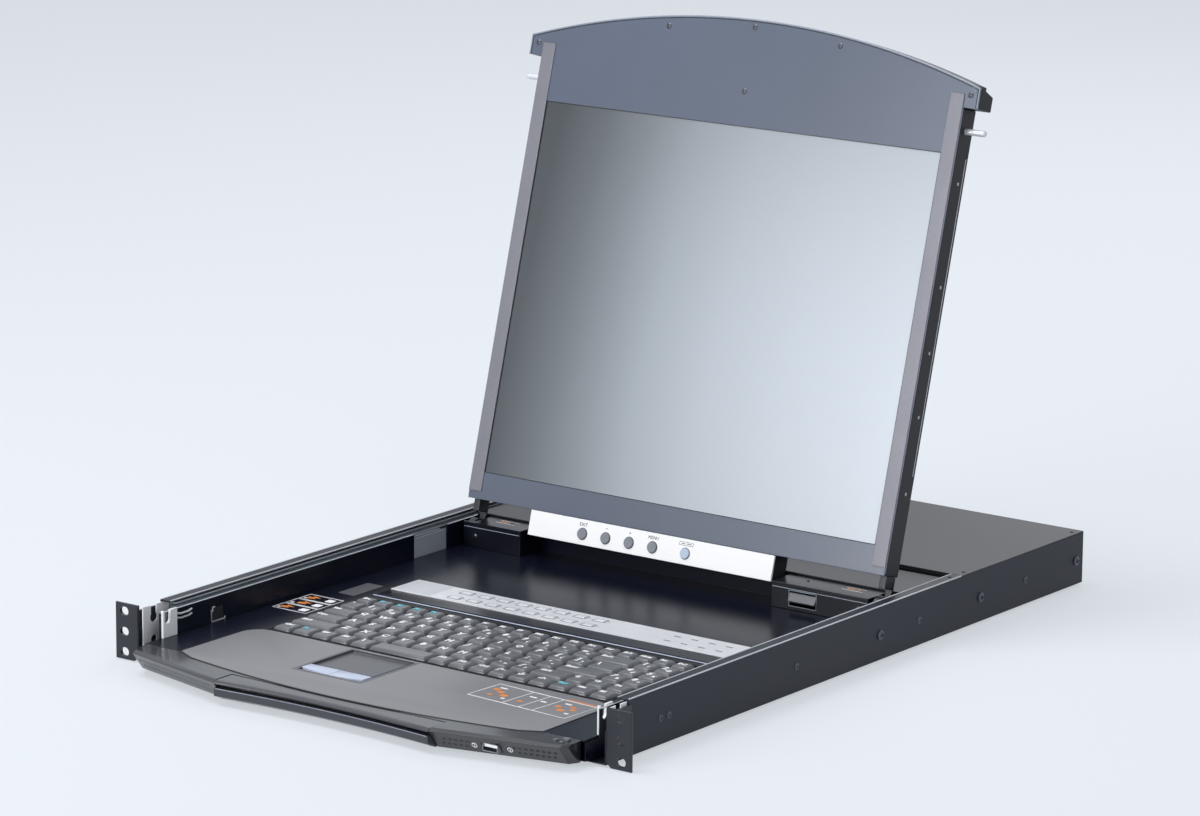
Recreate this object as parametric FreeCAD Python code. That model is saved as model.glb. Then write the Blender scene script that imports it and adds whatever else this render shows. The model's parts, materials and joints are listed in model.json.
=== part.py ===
import FreeCAD, Part
import math
import os
from FreeCAD import Vector

# Rackmount LCD console drawer, millimetres, drawer pushed in and display open.
# X to the right, Y to the back, Z up. The origin is the middle of the rack-ear
# hole pattern, on the ears' front face.

# rack standard
rack_unit = 44.45
ear_span = 482.6
ear_flange = 21.8
ear_hole_inset = 8.75
ear_hole_gap = 15.875
ear_hole_r = 3.4
ear_slot_length = 8.4
ear_height = 43.7
ear_thickness = 2.5
ear_leg_depth = 28.0
ear_leg_thickness = 1.7
ear_chamfer = 4.0

# fixed body
body_height = 42.4
body_lift = 1.6
sheet = 1.2
flange_width = 10.0
cover_sheet = 1.0
bay_depth = 180.0
cover_lip = 4.0
relief_depth = 26.0
relief_below_pin = 6.0

# slides, three members a side
rail_start = 34.0
outer_rail_height = 35.0
middle_rail_height = 28.2
inner_rail_height = 21.4
rail_sheet = 1.2
rail_lip = 7.6
rail_step = 3.4
rail_gap = 0.4
ball_r = 0.75
ball_pitch = 8.6
ball_count = 24

# drawer tray
rail_room = 11.5
tray_depth = 15.4
tray_clearance = 0.8
tray_tail = 74.5
tray_back_gap = 4.0
wall_rise = 19.4
deck_sheet = 1.5
deck_front = -7.0
front_wall_start = 10.0
wall_low_before = 67.5
wall_low_after = 25.5
deck_gap = 0.2

# keyboard
key_rise = 2.4
key_travel = 2.0
key_height = 4.8
key_gap = 1.5
key_pitch_y = 19.5
key_units = 17
keyboard_wall_gap = 45.4
keyboard_front = 81.5
keyboard_back_strip = 13.0
keyboard_rim = 1.6
function_row_depth = 16.5
function_key_count = 19
main_units = 15

# pointing pad
pad_left = -70.5
pad_width = 58.5
pad_front = 26.0
pad_depth = 47.0
pad_thickness = 0.9
pad_button_depth = 15.0
pad_button_gap = 1.2
pad_travel = 0.6
pad_rim = 3.5

# palm rest
palm_width = 339.0
palm_back_gap = 3.5
palm_end_y = -11.5
palm_middle_y = -31.0
palm_sheet = 0.6

# front bezel and handle
bezel_inset = 3.8
bezel_side_y = -22.0
bezel_corner_y = -28.0
bezel_corner_inset = 3.5
bezel_nose_y = -51.0
bezel_underside = 3.0
bezel_brow = 2.0
bezel_slope = 11.0
bezel_wall = 2.0
handle_width = 200.0
handle_back_y = -30.0
handle_middle_y = -45.5
handle_groove = 6.0
handle_lip = 2.8
handle_groove_height = 2.6
handle_bar_height = 6.2
fit_gap = 0.4
grille_r = 1.15
grille_pitch = 4.55
grille_rows = 2
usb_x = 145.0
usb_width = 13.2
usb_height = 5.8
usb_depth = 14.0
usb_bay = 34.0

# port selection strip
strip_wall_gap = 46.1
strip_front = 229.0
strip_depth = 35.0
strip_rise = 0.8
select_columns = 8
select_pitch = 18.4
select_start = -103.0
select_size = 9.0
select_travel = 0.6

# hinge
hinge_drop = 23.0
hinge_inset = 10.2
closed_gap = 3.7
open_lean = 15.31
shaft_r = 3.0
shaft_clearance = 0.05
barrel_r = 5.0
barrel_end_gap = 3.0
barrel_inner_gap = 7.6
shaft_overlap = 29.0
hub_r = 7.5
arm_width = 6.0
arm_root_above = 15.0
arm_step = 13.0
arm_neck = 6.0
block_setback = 10.5
block_rise = 20.5
block_depth = 25.0
block_left_chin_gap = 6.4
block_right_chin_gap = 2.0
block_wall_gap = 14.1
block_face_gap = 5.1
rail_bead_r = 1.8
hinge_cover_wall = 1.4
latch_from_chin = 31.2
latch_width = 25.4
latch_height = 12.4
latch_rise = 9.4
deck_cover_rise = 22.2
deck_cover_gap = 1.0

# display
display_side_gap = 4.4
display_thickness = 20.0
strip_top_rise = 10.7
frame_side = 12.7
glass_top_drop = 35.9
glass_bottom = 22.4
glass_thickness = 2.0
frame_sheet = 1.5
back_sheet = 1.2
strip_bar_width = 12.3
strip_bar_bottom = 6.5
strip_bar_proud = 0.8
arch_inset = 5.2
arch_foot = 361.6
arch_corner_rise = 16.4
arch_crown = 32.5
arch_band = 17.0
arch_end_slope = 5.0
arch_recess = 3.0
arch_screw_inset = 7.8
arch_screw_drop = 6.4
crown_screw_x = 81.9
crown_screw_drop = 13.5
middle_screw_drop = 6.7
lower_screw_drop = 57.5
seam_low = 76.0
seam_top_drop = 35.6
seam_back = 3.5
seam_width = 0.8
panel_margin = 6.5
panel_thickness = 10.5
chin_left_inset = 64.7
chin_right_inset = 101.2
chin_height = 20.5
chin_gap = 0.3
fascia_thickness = 2.0
osd_button_r = 4.4
osd_button_inset = 53.0
osd_button_pitch = 22.9
osd_button_count = 4
osd_button_rise = 11.8
osd_button_proud = 1.2
osd_travel = 0.8
power_button_inset = 83.1
power_button_r = 4.2
bore_gap = 0.35
pin_r = 2.5
pin_drop = 17.2
pin_front = 16.1
pin_tip_gap = 0.4
pin_length = 34.0
pin_slot_gap = 0.6
catch_thickness = 2.4
catch_depth = 16.0
catch_setback = 3.0

# rear electronics
port_columns = 8
port_rows = 2
port_pitch = 34.0
port_wall_gap = 22.3
port_shell_width = 16.4
port_shell_height = 8.4
port_flange_width = 31.0
port_flange_height = 12.0
port_proud = 6.0
port_body_depth = 12.0
port_row_gap = 17.0
supply_width = 86.0
supply_front_gap = 4.0
supply_back_gap = 8.0
supply_wall_gap = 58.3
supply_slots = 9
supply_slot_pitch = 8.6
supply_slot_width = 3.0
inlet_from_supply = -10.0
inlet_width = 27.0
inlet_height = 19.5
inlet_depth = 18.0
inlet_wall = 1.6
inlet_flange = 3.0
rocker_from_supply = 26.0
rocker_width = 13.0
rocker_height = 20.0
board_thickness = 1.6
board_depth = 130.0
board_edge = 6.0
chip_count = 4
chip_size = 24.0
chip_height = 3.0
capacitor_r = 5.0
capacitor_height = 11.0
post_r = 3.0
post_height = 4.0
control_board_depth = 94.0
control_chip_count = 5
control_chip_size = 16.0

# fasteners
screw_head_r = 2.7
screw_head_height = 1.1
screw_shank_r = 1.45
screw_shank_length = 2.3
shoulder_head_r = 3.9
shoulder_head_height = 2.0
front_screws_small = (65.4, 75.5, 236.5)
hinge_screw_small = 18.7
bay_screw_small = 93.2
hinge_screw_large = -35.3
bay_screw_large = 27.3
end_screw_large = 10.5
side_screw_rise = 19.7

# widths
body_width = ear_span - 2 * ear_flange
ear_hole_span = ear_span - 2 * ear_hole_inset
body_half = body_width / 2
wall_inside = body_half - sheet
tray_half = wall_inside - rail_room
tray_inside = tray_half - sheet
bezel_half_width = tray_half - bezel_inset
display_half = tray_inside - display_side_gap
glass_half = display_half - frame_side
keyboard_width = 2 * (tray_inside - keyboard_wall_gap)
strip_width = 2 * (tray_inside - strip_wall_gap)
chin_left = -(display_half - chin_left_inset)
chin_right = display_half - chin_right_inset
osd_button_first = chin_left + osd_button_inset
power_button_x = chin_right - power_button_inset
latch_x = chin_right + latch_from_chin
arch_half = body_half - arch_inset
pin_reach = body_half - pin_tip_gap
block_outer = tray_inside - block_wall_gap
block_left_outer = -(tray_inside - block_face_gap)
block_left_inner = chin_left - block_left_chin_gap
block_right_inner = chin_right + block_right_chin_gap
barrel_outer = block_outer - barrel_end_gap
barrel_inner = -block_left_inner + barrel_inner_gap
supply_x = wall_inside - supply_wall_gap
inlet_x = supply_x + inlet_from_supply
rocker_x = supply_x + rocker_from_supply
port_first_x = -wall_inside + port_wall_gap

# display heights
display_height = arch_foot + strip_top_rise
glass_height = arch_foot - glass_top_drop - glass_bottom
arch_corner = arch_foot + arch_corner_rise
arch_apex = arch_corner + arch_crown
seam_high = arch_foot - seam_top_drop
pin_rise = arch_foot - pin_drop

# depths
hinge_y = pin_front + hinge_drop + pin_rise
block_front_y = hinge_y - block_setback
front_wall_end = hinge_y - wall_low_before
rear_wall_start = hinge_y - wall_low_after
tray_back = hinge_y + tray_tail
rail_end = tray_back
rail_length = rail_end - rail_start
cover_start = tray_back + tray_back_gap
body_depth = cover_start + bay_depth
side_screws_small = front_screws_small + (hinge_y + hinge_screw_small,
                                          cover_start + bay_screw_small)
side_screws_large = (hinge_y + hinge_screw_large, cover_start + bay_screw_large,
                     body_depth - end_screw_large)

# levels
unit_floor = -rack_unit / 2
body_bottom = unit_floor + body_lift
body_top = body_bottom + body_height
pan_top = body_bottom + sheet
tray_bottom = pan_top + tray_clearance
deck_top = tray_bottom + tray_depth
wall_top = deck_top + wall_rise
key_top = deck_top + key_rise
face_closed = deck_top + closed_gap
hinge_z = face_closed + hinge_inset
block_top = deck_top + block_rise
rail_middle_z = pan_top + outer_rail_height / 2 + 3.4
pin_closed_y = hinge_y - hinge_drop - pin_rise
pin_closed_z = face_closed + hinge_inset
bezel_bottom = unit_floor + bezel_underside
bezel_edge = deck_top - bezel_brow


def box(x, y, z):
    """Solid block from three (low, high) spans."""
    size = [span[1] - span[0] for span in (x, y, z)]
    return Part.makeBox(size[0], size[1], size[2], Vector(x[0], y[0], z[0]))


def rod(start, direction, length, radius):
    return Part.makeCylinder(radius, length, Vector(*start), Vector(*direction))


def polygon(points):
    return Part.makePolygon([Vector(*p) for p in points] + [Vector(*points[0])])


def plan_solid(points, low, high):
    """Plan outline of (x, y) points raised from low to high."""
    face = Part.Face(polygon([(x, y, low) for x, y in points]))
    return face.extrude(Vector(0, 0, high - low))


def side_solid(points, x):
    """Side outline of (y, z) points carried across the (low, high) span x."""
    face = Part.Face(polygon([(x[0], y, z) for y, z in points]))
    return face.extrude(Vector(x[1] - x[0], 0, 0))


def front_solid(points, y):
    """Front outline of (x, z) points carried through the (low, high) span y."""
    face = Part.Face(polygon([(px, y[0], pz) for px, pz in points]))
    return face.extrude(Vector(0, y[1] - y[0], 0))


def mirrored(shape):
    return shape.mirror(Vector(0, 0, 0), Vector(1, 0, 0))


def both_sides(shape):
    return [shape, mirrored(shape)]


def span(side, inner, outer):
    """X span of something between two distances from the middle on one side."""
    return (inner, outer) if side > 0 else (-outer, -inner)


def fused(shapes):
    return shapes[0].multiFuse(shapes[1:]).removeSplitter()


def save(node, *solids):
    shape = solids[0] if len(solids) == 1 else Part.makeCompound(list(solids))
    shape.exportStep("parts/" + node + ".step")


def on_display(shape):
    """Lean an upright display-frame shape back and set it on the hinge."""
    lean = math.radians(open_lean)
    along = Vector(0, math.sin(lean), math.cos(lean))
    through = Vector(0, math.cos(lean), -math.sin(lean))
    foot = Vector(0, hinge_y, hinge_z) + along * hinge_drop - through * hinge_inset
    placed = shape.copy()
    placed.rotate(Vector(0, 0, 0), Vector(1, 0, 0), -open_lean)
    placed.translate(foot)
    return placed


def screw(place, direction, head_r=screw_head_r, head_height=screw_head_height):
    """Pan-head screw whose head sits on place and whose shank runs inwards."""
    out = Vector(*direction)
    head = Part.makeCylinder(head_r, head_height, Vector(*place), out)
    rim = [edge for edge in head.Edges if edge.Closed
           and edge.CenterOfMass.distanceToPoint(Vector(*place)) > head_height / 2]
    head = head.makeChamfer(head_height * 0.4, rim)
    shank = Part.makeCylinder(screw_shank_r, screw_shank_length, Vector(*place), out * -1)
    return fused([head, shank])


def bored(shape, holes):
    """Shape with (place, direction, radius, length) holes cut in it."""
    for place, direction, radius, length in holes:
        shape = shape.cut(rod(place, direction, length, radius))
    return shape


# fixed body ------------------------------------------------------------

def side_screw_places(side):
    z = body_bottom + side_screw_rise
    return [(side * body_half, y, z) for y in side_screws_small + side_screws_large]


def cover_screw_places():
    edge = body_half - flange_width / 2
    rows = (cover_start + flange_width, body_depth - flange_width)
    return [(side * edge, y, body_top) for side in (-1, 1) for y in rows]


def front_screw_places():
    edge = body_half - flange_width / 2
    return [(side * edge, cover_start - flange_width, body_top) for side in (-1, 1)]


def screw_holes(places, direction):
    clear = screw_shank_r + shaft_clearance
    back = Vector(*direction) * -(screw_shank_length + 1)
    return [(tuple(Vector(*p) + back), direction, clear, screw_shank_length + 2)
            for p in places]


def chassis_pan():
    floor = box((-body_half, body_half), (0, body_depth), (body_bottom, pan_top))
    shapes = [floor]
    for side in (-1, 1):
        wall = span(side, wall_inside, body_half)
        flange = span(side, body_half - flange_width, body_half)
        shapes.append(box(wall, (0, cover_start), (body_bottom, body_top)))
        shapes.append(box(flange, (0, cover_start), (body_top - sheet, body_top)))
        seat = body_top - cover_sheet
        shapes.append(box(wall, (cover_start, body_depth), (body_bottom, seat)))
        shapes.append(box(flange, (cover_start, body_depth), (seat - sheet, seat)))
    pan = fused(shapes)
    relief_bottom = pin_closed_z - relief_below_pin
    for side in (-1, 1):
        relief = span(side, body_half - flange_width - 1, body_half + 1)
        pan = pan.cut(box(relief, (-1, relief_depth), (relief_bottom, body_top + 1)))
        holes = screw_holes(side_screw_places(side), (side, 0, 0))
        pan = bored(pan, holes)
    return bored(pan, screw_holes(cover_screw_places() + front_screw_places(), (0, 0, 1)))


def rear_cover():
    plate = box((-body_half, body_half), (cover_start, body_depth),
                (body_top - cover_sheet, body_top))
    inset = body_half - flange_width - fit_gap
    lip = box((-inset, inset), (cover_start, cover_start + cover_sheet),
              (body_top - cover_lip, body_top))
    return bored(fused([plate, lip]), screw_holes(cover_screw_places(), (0, 0, 1)))


def port_places():
    lower = body_bottom + body_height / 2 - port_row_gap / 2
    return [(port_first_x + port_pitch * column, lower + port_row_gap * row)
            for column in range(port_columns) for row in range(port_rows)]


def rear_middle_z():
    return body_bottom + body_height / 2


def rear_panel():
    inside = wall_inside - fit_gap
    panel = box((-inside, inside), (body_depth - sheet, body_depth),
                (pan_top, body_top - cover_sheet))
    cuts = []
    for x, z in port_places():
        half = port_shell_width / 2 + fit_gap
        rise = port_shell_height / 2 + fit_gap
        cuts.append(((x - half, x + half), (z - rise, z + rise)))
    z = rear_middle_z()
    for x, width, height in ((inlet_x, inlet_width, inlet_height),
                             (rocker_x, rocker_width, rocker_height)):
        half = width / 2 + fit_gap
        rise = height / 2 + fit_gap
        cuts.append(((x - half, x + half), (z - rise, z + rise)))
    through = (body_depth - sheet - 1, body_depth + 1)
    panel = panel.cut(Part.makeCompound([box(x, through, z) for x, z in cuts]))
    top = (body_top - cover_sheet - sheet - fit_gap, body_top)
    corners = [box(span(side, body_half - flange_width - fit_gap, body_half), through, top)
               for side in (-1, 1)]
    return panel.cut(Part.makeCompound(corners))


def port_connectors():
    solids = []
    for x, z in port_places():
        half = port_shell_width / 2
        rise = port_shell_height / 2
        shell = box((x - half, x + half), (body_depth - port_body_depth, body_depth + port_proud),
                    (z - rise, z + rise))
        shell = shell.makeFillet(2.0, [edge for edge in shell.Edges
                                       if abs(edge.tangentAt(edge.FirstParameter).y) > 0.9])
        half = port_flange_width / 2
        rise = port_flange_height / 2
        flange = box((x - half, x + half), (body_depth, body_depth + 1), (z - rise, z + rise))
        shapes = [shell, flange]
        for side in (-1, 1):
            nut = (x + side * (half - 3.2), body_depth, z)
            shapes.append(rod(nut, (0, 1, 0), port_proud - 1, 2.3))
        solids.append(fused(shapes))
    return solids


def rack_ear():
    z = (-ear_height / 2, ear_height / 2)
    flange = box((body_half, body_half + ear_flange), (0, ear_thickness), z)
    leg_x = (body_half, body_half + ear_leg_thickness)
    leg = box(leg_x, (0, ear_leg_depth), (z[0] + ear_chamfer, z[1] - ear_chamfer))
    ear = fused([flange, leg])
    corner = [(body_half - 1, z[0] - 1), (body_half + ear_chamfer, z[0] - 1),
              (body_half + ear_chamfer, z[0]), (body_half, z[0] + ear_chamfer),
              (body_half - 1, z[0] + ear_chamfer)]
    ear = ear.cut(front_solid(corner, (-1, ear_thickness + 1)))
    half = ear_slot_length / 2 - ear_hole_r
    for row in (-1, 0, 1):
        x = ear_hole_span / 2
        z = row * ear_hole_gap
        start = (x - half, -1, z)
        slot = [rod(start, (0, 1, 0), ear_thickness + 2, ear_hole_r),
                rod((x + half, -1, z), (0, 1, 0), ear_thickness + 2, ear_hole_r),
                box((x - half, x + half), (-1, ear_thickness + 1),
                    (z - ear_hole_r, z + ear_hole_r))]
        ear = ear.cut(fused(slot))
    return ear


def slide_bracket():
    """Bracket at the front of a slide, with a hole that takes the display's pin."""
    inner = wall_inside - rail_sheet
    start = ear_thickness + 1.5
    low = pan_top + 3.0
    high = body_top - sheet - fit_gap
    plate = box((inner, wall_inside), (start, rail_start - fit_gap), (low, high))
    slot_r = pin_r + pin_slot_gap
    reach = (inner - rail_sheet, body_half)
    slot = [rod((reach[0], pin_closed_y, pin_closed_z), (1, 0, 0), reach[1] - reach[0],
                slot_r + 1.0),
            box(reach, (pin_closed_y - slot_r, pin_closed_y + slot_r), (pin_closed_z, body_top))]
    plate = plate.cut(fused(slot))
    lower = pin_closed_z - ear_hole_gap - 1.5
    return plate.cut(rod((reach[0], pin_closed_y, lower), (1, 0, 0), 6.0, ear_hole_r))


def power_supply():
    half = supply_width / 2
    end = body_depth - inlet_depth - supply_back_gap
    can = box((supply_x - half, supply_x + half), (cover_start + supply_front_gap, end),
              (pan_top, body_top - cover_sheet - sheet - 3.0))
    room = can.BoundBox
    hollow = box((room.XMin + sheet, room.XMax - sheet), (room.YMin + sheet, room.YMax - sheet),
                 (room.ZMin + sheet, room.ZMax - sheet))
    slots = [hollow]
    for column in range(supply_slots):
        x = supply_x - half + supply_slot_pitch * (column + 1)
        slots.append(box((x, x + supply_slot_width), (room.YMin - 1, room.YMin + 2),
                         (pan_top + 6, body_top - 14)))
    return can.cut(fused(slots))


def main_board():
    back = body_depth - port_body_depth - 2.0
    left = -wall_inside + board_edge
    right = supply_x - supply_width / 2 - board_edge
    low = pan_top + post_height
    high = low + board_thickness
    shapes = [box((left, right), (back - board_depth, back), (low, high))]
    step = (right - left) / (chip_count + 0.6)
    for column in range(chip_count):
        x = left + step * (0.57 + column)
        y = back - board_depth * 0.69
        shapes.append(box((x, x + chip_size), (y, y + chip_size), (high, high + chip_height)))
        shapes.append(rod((x + step * 0.64, back - board_depth * 0.8, high), (0, 0, 1),
                          capacitor_height, capacitor_r))
    for x in (left + board_edge, right - board_edge):
        for y in (back - board_depth + board_edge, back - board_edge):
            shapes.append(rod((x, y, pan_top), (0, 0, 1), post_height, post_r))
    return fused(shapes)


def power_inlet():
    half = inlet_width / 2
    rise = inlet_height / 2
    z = rear_middle_z()
    back = body_depth
    shell = box((inlet_x - half, inlet_x + half), (back - inlet_depth, back + inlet_flange),
                (z - rise, z + rise))
    rim_half = half + inlet_flange
    rim_rise = rise + inlet_flange
    rim = box((inlet_x - rim_half, inlet_x + rim_half), (back, back + inlet_flange),
              (z - rim_rise, z + rim_rise))
    cavity = box((inlet_x - half + inlet_wall, inlet_x + half - inlet_wall),
                 (back - inlet_depth + inlet_wall, back + inlet_flange + 1),
                 (z - rise + inlet_wall, z + rise - inlet_wall))
    blades = []
    for x, offset in ((-7.0, -2.0), (0.0, -4.5), (7.0, -2.0)):
        centre = inlet_x + x
        blades.append(box((centre - 1.0, centre + 1.0), (back - inlet_depth, back - 1.0),
                          (z + offset - 2.0, z + offset + 2.0)))
    return fused([fused([shell, rim]).cut(cavity)] + blades)


def power_switch():
    """Rocker that turns about an X axis in the rear panel."""
    half = rocker_width / 2
    rise = rocker_height / 2 - fit_gap
    z = rear_middle_z()
    back = body_depth
    outline = [(back - 6.0, z - 4.0), (back - 6.0, z + 4.0), (back + 0.6, z + rise),
               (back + 1.4, z + rise), (back + 1.0, z), (back + 3.4, z - rise),
               (back + 0.6, z - rise)]
    return side_solid(outline, (rocker_x - half, rocker_x + half))


def chassis_screws():
    solids = []
    for side in (-1, 1):
        z = body_bottom + side_screw_rise
        for y in side_screws_small:
            solids.append(screw((side * body_half, y, z), (side, 0, 0)))
        for y in side_screws_large:
            solids.append(screw((side * body_half, y, z), (side, 0, 0),
                                shoulder_head_r, shoulder_head_height))
    for place in cover_screw_places() + front_screw_places():
        solids.append(screw(place, (0, 0, 1), screw_head_r, screw_head_height / 2))
    return solids


# slides ----------------------------------------------------------------

def rail(web, lip_to, height):
    """Channel rail: a web span in X with lips reaching towards lip_to."""
    low = rail_middle_z - height / 2
    high = rail_middle_z + height / 2
    reach = (min(web[0], lip_to), max(web[1], lip_to))
    y = (rail_start, rail_end)
    return fused([box(web, y, (low, high)), box(reach, y, (low, low + rail_sheet)),
                  box(reach, y, (high - rail_sheet, high))])


def outer_rail():
    web = (wall_inside - rail_sheet, wall_inside)
    member = rail(web, wall_inside - rail_lip, outer_rail_height)
    return bored(member, screw_holes(side_screw_places(1), (1, 0, 0)))


def middle_rail():
    outer = wall_inside - rail_sheet - rail_gap
    return rail((outer - rail_sheet, outer), outer - rail_lip + rail_gap, middle_rail_height)


def inner_rail():
    web = (tray_half, tray_half + rail_sheet)
    return rail(web, tray_half + rail_sheet + rail_step, inner_rail_height)


def ball_cage():
    """Retainer strips with balls between the middle and the inner member."""
    x = tray_half + rail_sheet + rail_step / 2
    gap = (middle_rail_height - inner_rail_height) / 2 - rail_sheet
    solids = []
    for side in (-1, 1):
        z = rail_middle_z + side * (inner_rail_height / 2 + gap / 2)
        length = ball_pitch * (ball_count + 1)
        start = rail_start + (rail_length - length) / 2
        shapes = [box((x - 1.2, x + 1.2), (start, start + length), (z - 0.25, z + 0.25))]
        for index in range(ball_count):
            y = start + ball_pitch * (index + 1)
            shapes.append(Part.makeSphere(ball_r, Vector(x, y, z)))
        solids.append(fused(shapes))
    return solids


# drawer ----------------------------------------------------------------

def pin_slot(x):
    """Open-topped slot for a display pin where the drawer's wall takes it."""
    slot_r = pin_r + pin_slot_gap
    y = (pin_closed_y - slot_r, pin_closed_y + slot_r)
    start = (x[0], pin_closed_y, pin_closed_z)
    return fused([rod(start, (1, 0, 0), x[1] - x[0], slot_r),
                  box(x, y, (pin_closed_z, body_top + 1))])


def tray_pan():
    floor_top = tray_bottom + sheet
    shapes = [box((-tray_half, tray_half), (deck_front, tray_back), (tray_bottom, floor_top))]
    low_top = deck_top - deck_sheet
    for side in (-1, 1):
        wall = span(side, tray_inside, tray_half)
        shapes.append(box(wall, (deck_front, tray_back), (tray_bottom, low_top)))
        shapes.append(box(wall, (front_wall_start, front_wall_end), (tray_bottom, wall_top)))
        shapes.append(box(wall, (rear_wall_start, tray_back), (tray_bottom, wall_top)))
    shapes.append(box((-tray_half, tray_half), (tray_back - sheet, tray_back),
                      (tray_bottom, wall_top)))
    pan = fused(shapes)
    for side in (-1, 1):
        pan = pan.cut(pin_slot(span(side, tray_inside - 1, tray_half + 1)))
    window = (keyboard_front - 11.5, keyboard_front + 1.0)
    opening = (deck_top + 1.0, deck_top + 11.0)
    cutters = [box(span(side, tray_inside - 1, tray_half + 1), window, opening)
               for side in (-1, 1)]
    return pan.cut(Part.makeCompound(cutters))


def pad_module_spans():
    x = (pad_left - pad_rim, pad_left + pad_width + pad_rim)
    y = (pad_front - pad_button_gap - pad_button_depth - pad_rim, pad_front + pad_depth + pad_rim)
    return x, y


def keyboard_spans():
    half = keyboard_width / 2
    rows = key_pitch_y * 5 + function_row_depth
    return (-half, half), (keyboard_front, keyboard_front + rows + keyboard_back_strip)


def grown(spans, gap):
    return [(low - gap, high + gap) for low, high in spans]


def tray_deck():
    inside = tray_inside - deck_gap
    low = deck_top - deck_sheet
    back = block_front_y + block_depth
    deck = box((-inside, inside), (deck_front, back), (low, deck_top))
    rear = box((-inside, inside), (back, back + deck_sheet),
               (low, deck_top + deck_cover_rise - sheet))
    deck = fused([deck, rear])
    for spans in (keyboard_spans(), pad_module_spans()):
        x, y = grown(spans, deck_gap)
        deck = deck.cut(box(x, y, (low - 1, deck_top + 1)))
    return deck.cut(select_wells())


def bezel_outline(setback, inset=0.0):
    """Plan of the bezel's right half, its front moved back by setback."""
    edge = bezel_half_width - inset
    nose = bezel_nose_y + setback + inset
    corner = bezel_corner_y + setback + inset
    inner = handle_width / 2 + fit_gap + inset
    return [(edge, deck_front), (edge, bezel_side_y + setback + inset),
            (edge - bezel_corner_inset, corner), (inner, nose)], inner


def lofted(outline_low, z_low, outline_high, z_high):
    wires = [polygon([(x, y, z) for x, y in outline])
             for outline, z in ((outline_low, z_low), (outline_high, z_high))]
    return Part.makeLoft(wires, True, True)


def bezel_half(inset, low, high):
    slope = bezel_slope * (bezel_edge - low) / (bezel_edge - bezel_bottom)
    under, inner = bezel_outline(slope, inset)
    over, inner = bezel_outline(0.0, inset)
    back = [(inner, deck_front)]
    return lofted(under + back, low, over + back, high)


def grille_frame():
    """Point, run and slope directions of the right half's perforated face."""
    start = Vector(bezel_half_width - bezel_corner_inset, bezel_corner_y, bezel_edge)
    end = Vector(handle_width / 2, bezel_nose_y, bezel_edge)
    run = (end - start).normalize()
    slope = Vector(0, bezel_slope, bezel_bottom - bezel_edge)
    return start, run, slope, run.cross(slope).normalize(), (end - start).Length


def grille_holes():
    start, run, slope, out, length = grille_frame()
    columns = int((length - 2 * grille_pitch) / grille_pitch)
    holes = []
    for row in range(grille_rows):
        for column in range(columns):
            along = grille_pitch * (1.2 + column + 0.5 * row)
            place = start + run * along + slope * (0.36 + 0.3 * row)
            holes.append(place)
    return holes, out


def front_bezel():
    half = bezel_half(0.0, bezel_bottom, bezel_edge)
    top_outline, inner = bezel_outline(0.0)
    brow, inner = bezel_outline(2 * bezel_brow)
    back = [(inner, deck_front)]
    half = fused([half, lofted(top_outline + back, bezel_edge, brow + back, deck_top)])
    hollow = bezel_half(bezel_wall, bezel_bottom + bezel_wall, bezel_edge - bezel_wall / 2)
    half = half.cut(hollow)
    holes, out = grille_holes()
    plain = []
    ported = []
    for place in holes:
        cutter = Part.makeCylinder(grille_r, 3 * bezel_wall, place - out * (1.5 * bezel_wall), out)
        plain.append(cutter)
        if abs(place.x - usb_x) > usb_bay / 2:
            ported.append(cutter)
    right = half.cut(Part.makeCompound(ported))
    usb = box((usb_x - usb_width / 2 - fit_gap, usb_x + usb_width / 2 + fit_gap),
              (bezel_nose_y, deck_front), usb_heights(fit_gap))
    right = right.cut(usb)
    left = mirrored(half.cut(Part.makeCompound(plain)))
    joint = handle_width / 2 + fit_gap + bezel_wall
    bridge = box((-joint, joint), (handle_back_y, deck_front), (bezel_bottom, deck_top))
    room = box((-joint, joint), (handle_back_y + bezel_wall, deck_front),
               (bezel_bottom + bezel_wall, deck_top - bezel_wall))
    return fused([right, left, bridge.cut(room)])


def usb_heights(gap=0.0):
    middle = (bezel_bottom + bezel_edge) / 2 - 0.5
    return (middle - usb_height / 2 - gap, middle + usb_height / 2 + gap)


def usb_front_y():
    start, run, slope, out, length = grille_frame()
    share = (start.x - usb_x) / (start.x - handle_width / 2)
    return bezel_corner_y + (bezel_nose_y - bezel_corner_y) * share + bezel_slope * 0.35


def usb_port():
    low, high = usb_heights()
    front = usb_front_y()
    x = (usb_x - usb_width / 2, usb_x + usb_width / 2)
    shell = box(x, (front, front + usb_depth), (low, high))
    wall = 0.4
    cavity = box((x[0] + wall, x[1] - wall), (front - 1, front + usb_depth - 2),
                 (low + wall, high - wall))
    tongue = box((x[0] + 1.0, x[1] - 1.0), (front + 1, front + usb_depth - 1.5),
                 (high - wall - 2.2, high - wall - 0.4))
    return fused([shell.cut(cavity), tongue])


def handle_wire(setback, z):
    half = handle_width / 2
    end = bezel_nose_y + setback
    left = Vector(-half, end, z)
    right = Vector(half, end, z)
    front = Part.Arc(left, Vector(0, handle_middle_y + setback, z), right).toShape()
    corners = [right, Vector(half, handle_back_y - fit_gap, z),
               Vector(-half, handle_back_y - fit_gap, z), left]
    sides = [Part.LineSegment(a, b).toShape() for a, b in zip(corners, corners[1:])]
    return Part.Wire([front] + sides)


def handle_slab(setback, low, high):
    return Part.Face(handle_wire(setback, low)).extrude(Vector(0, 0, high - low))


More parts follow.
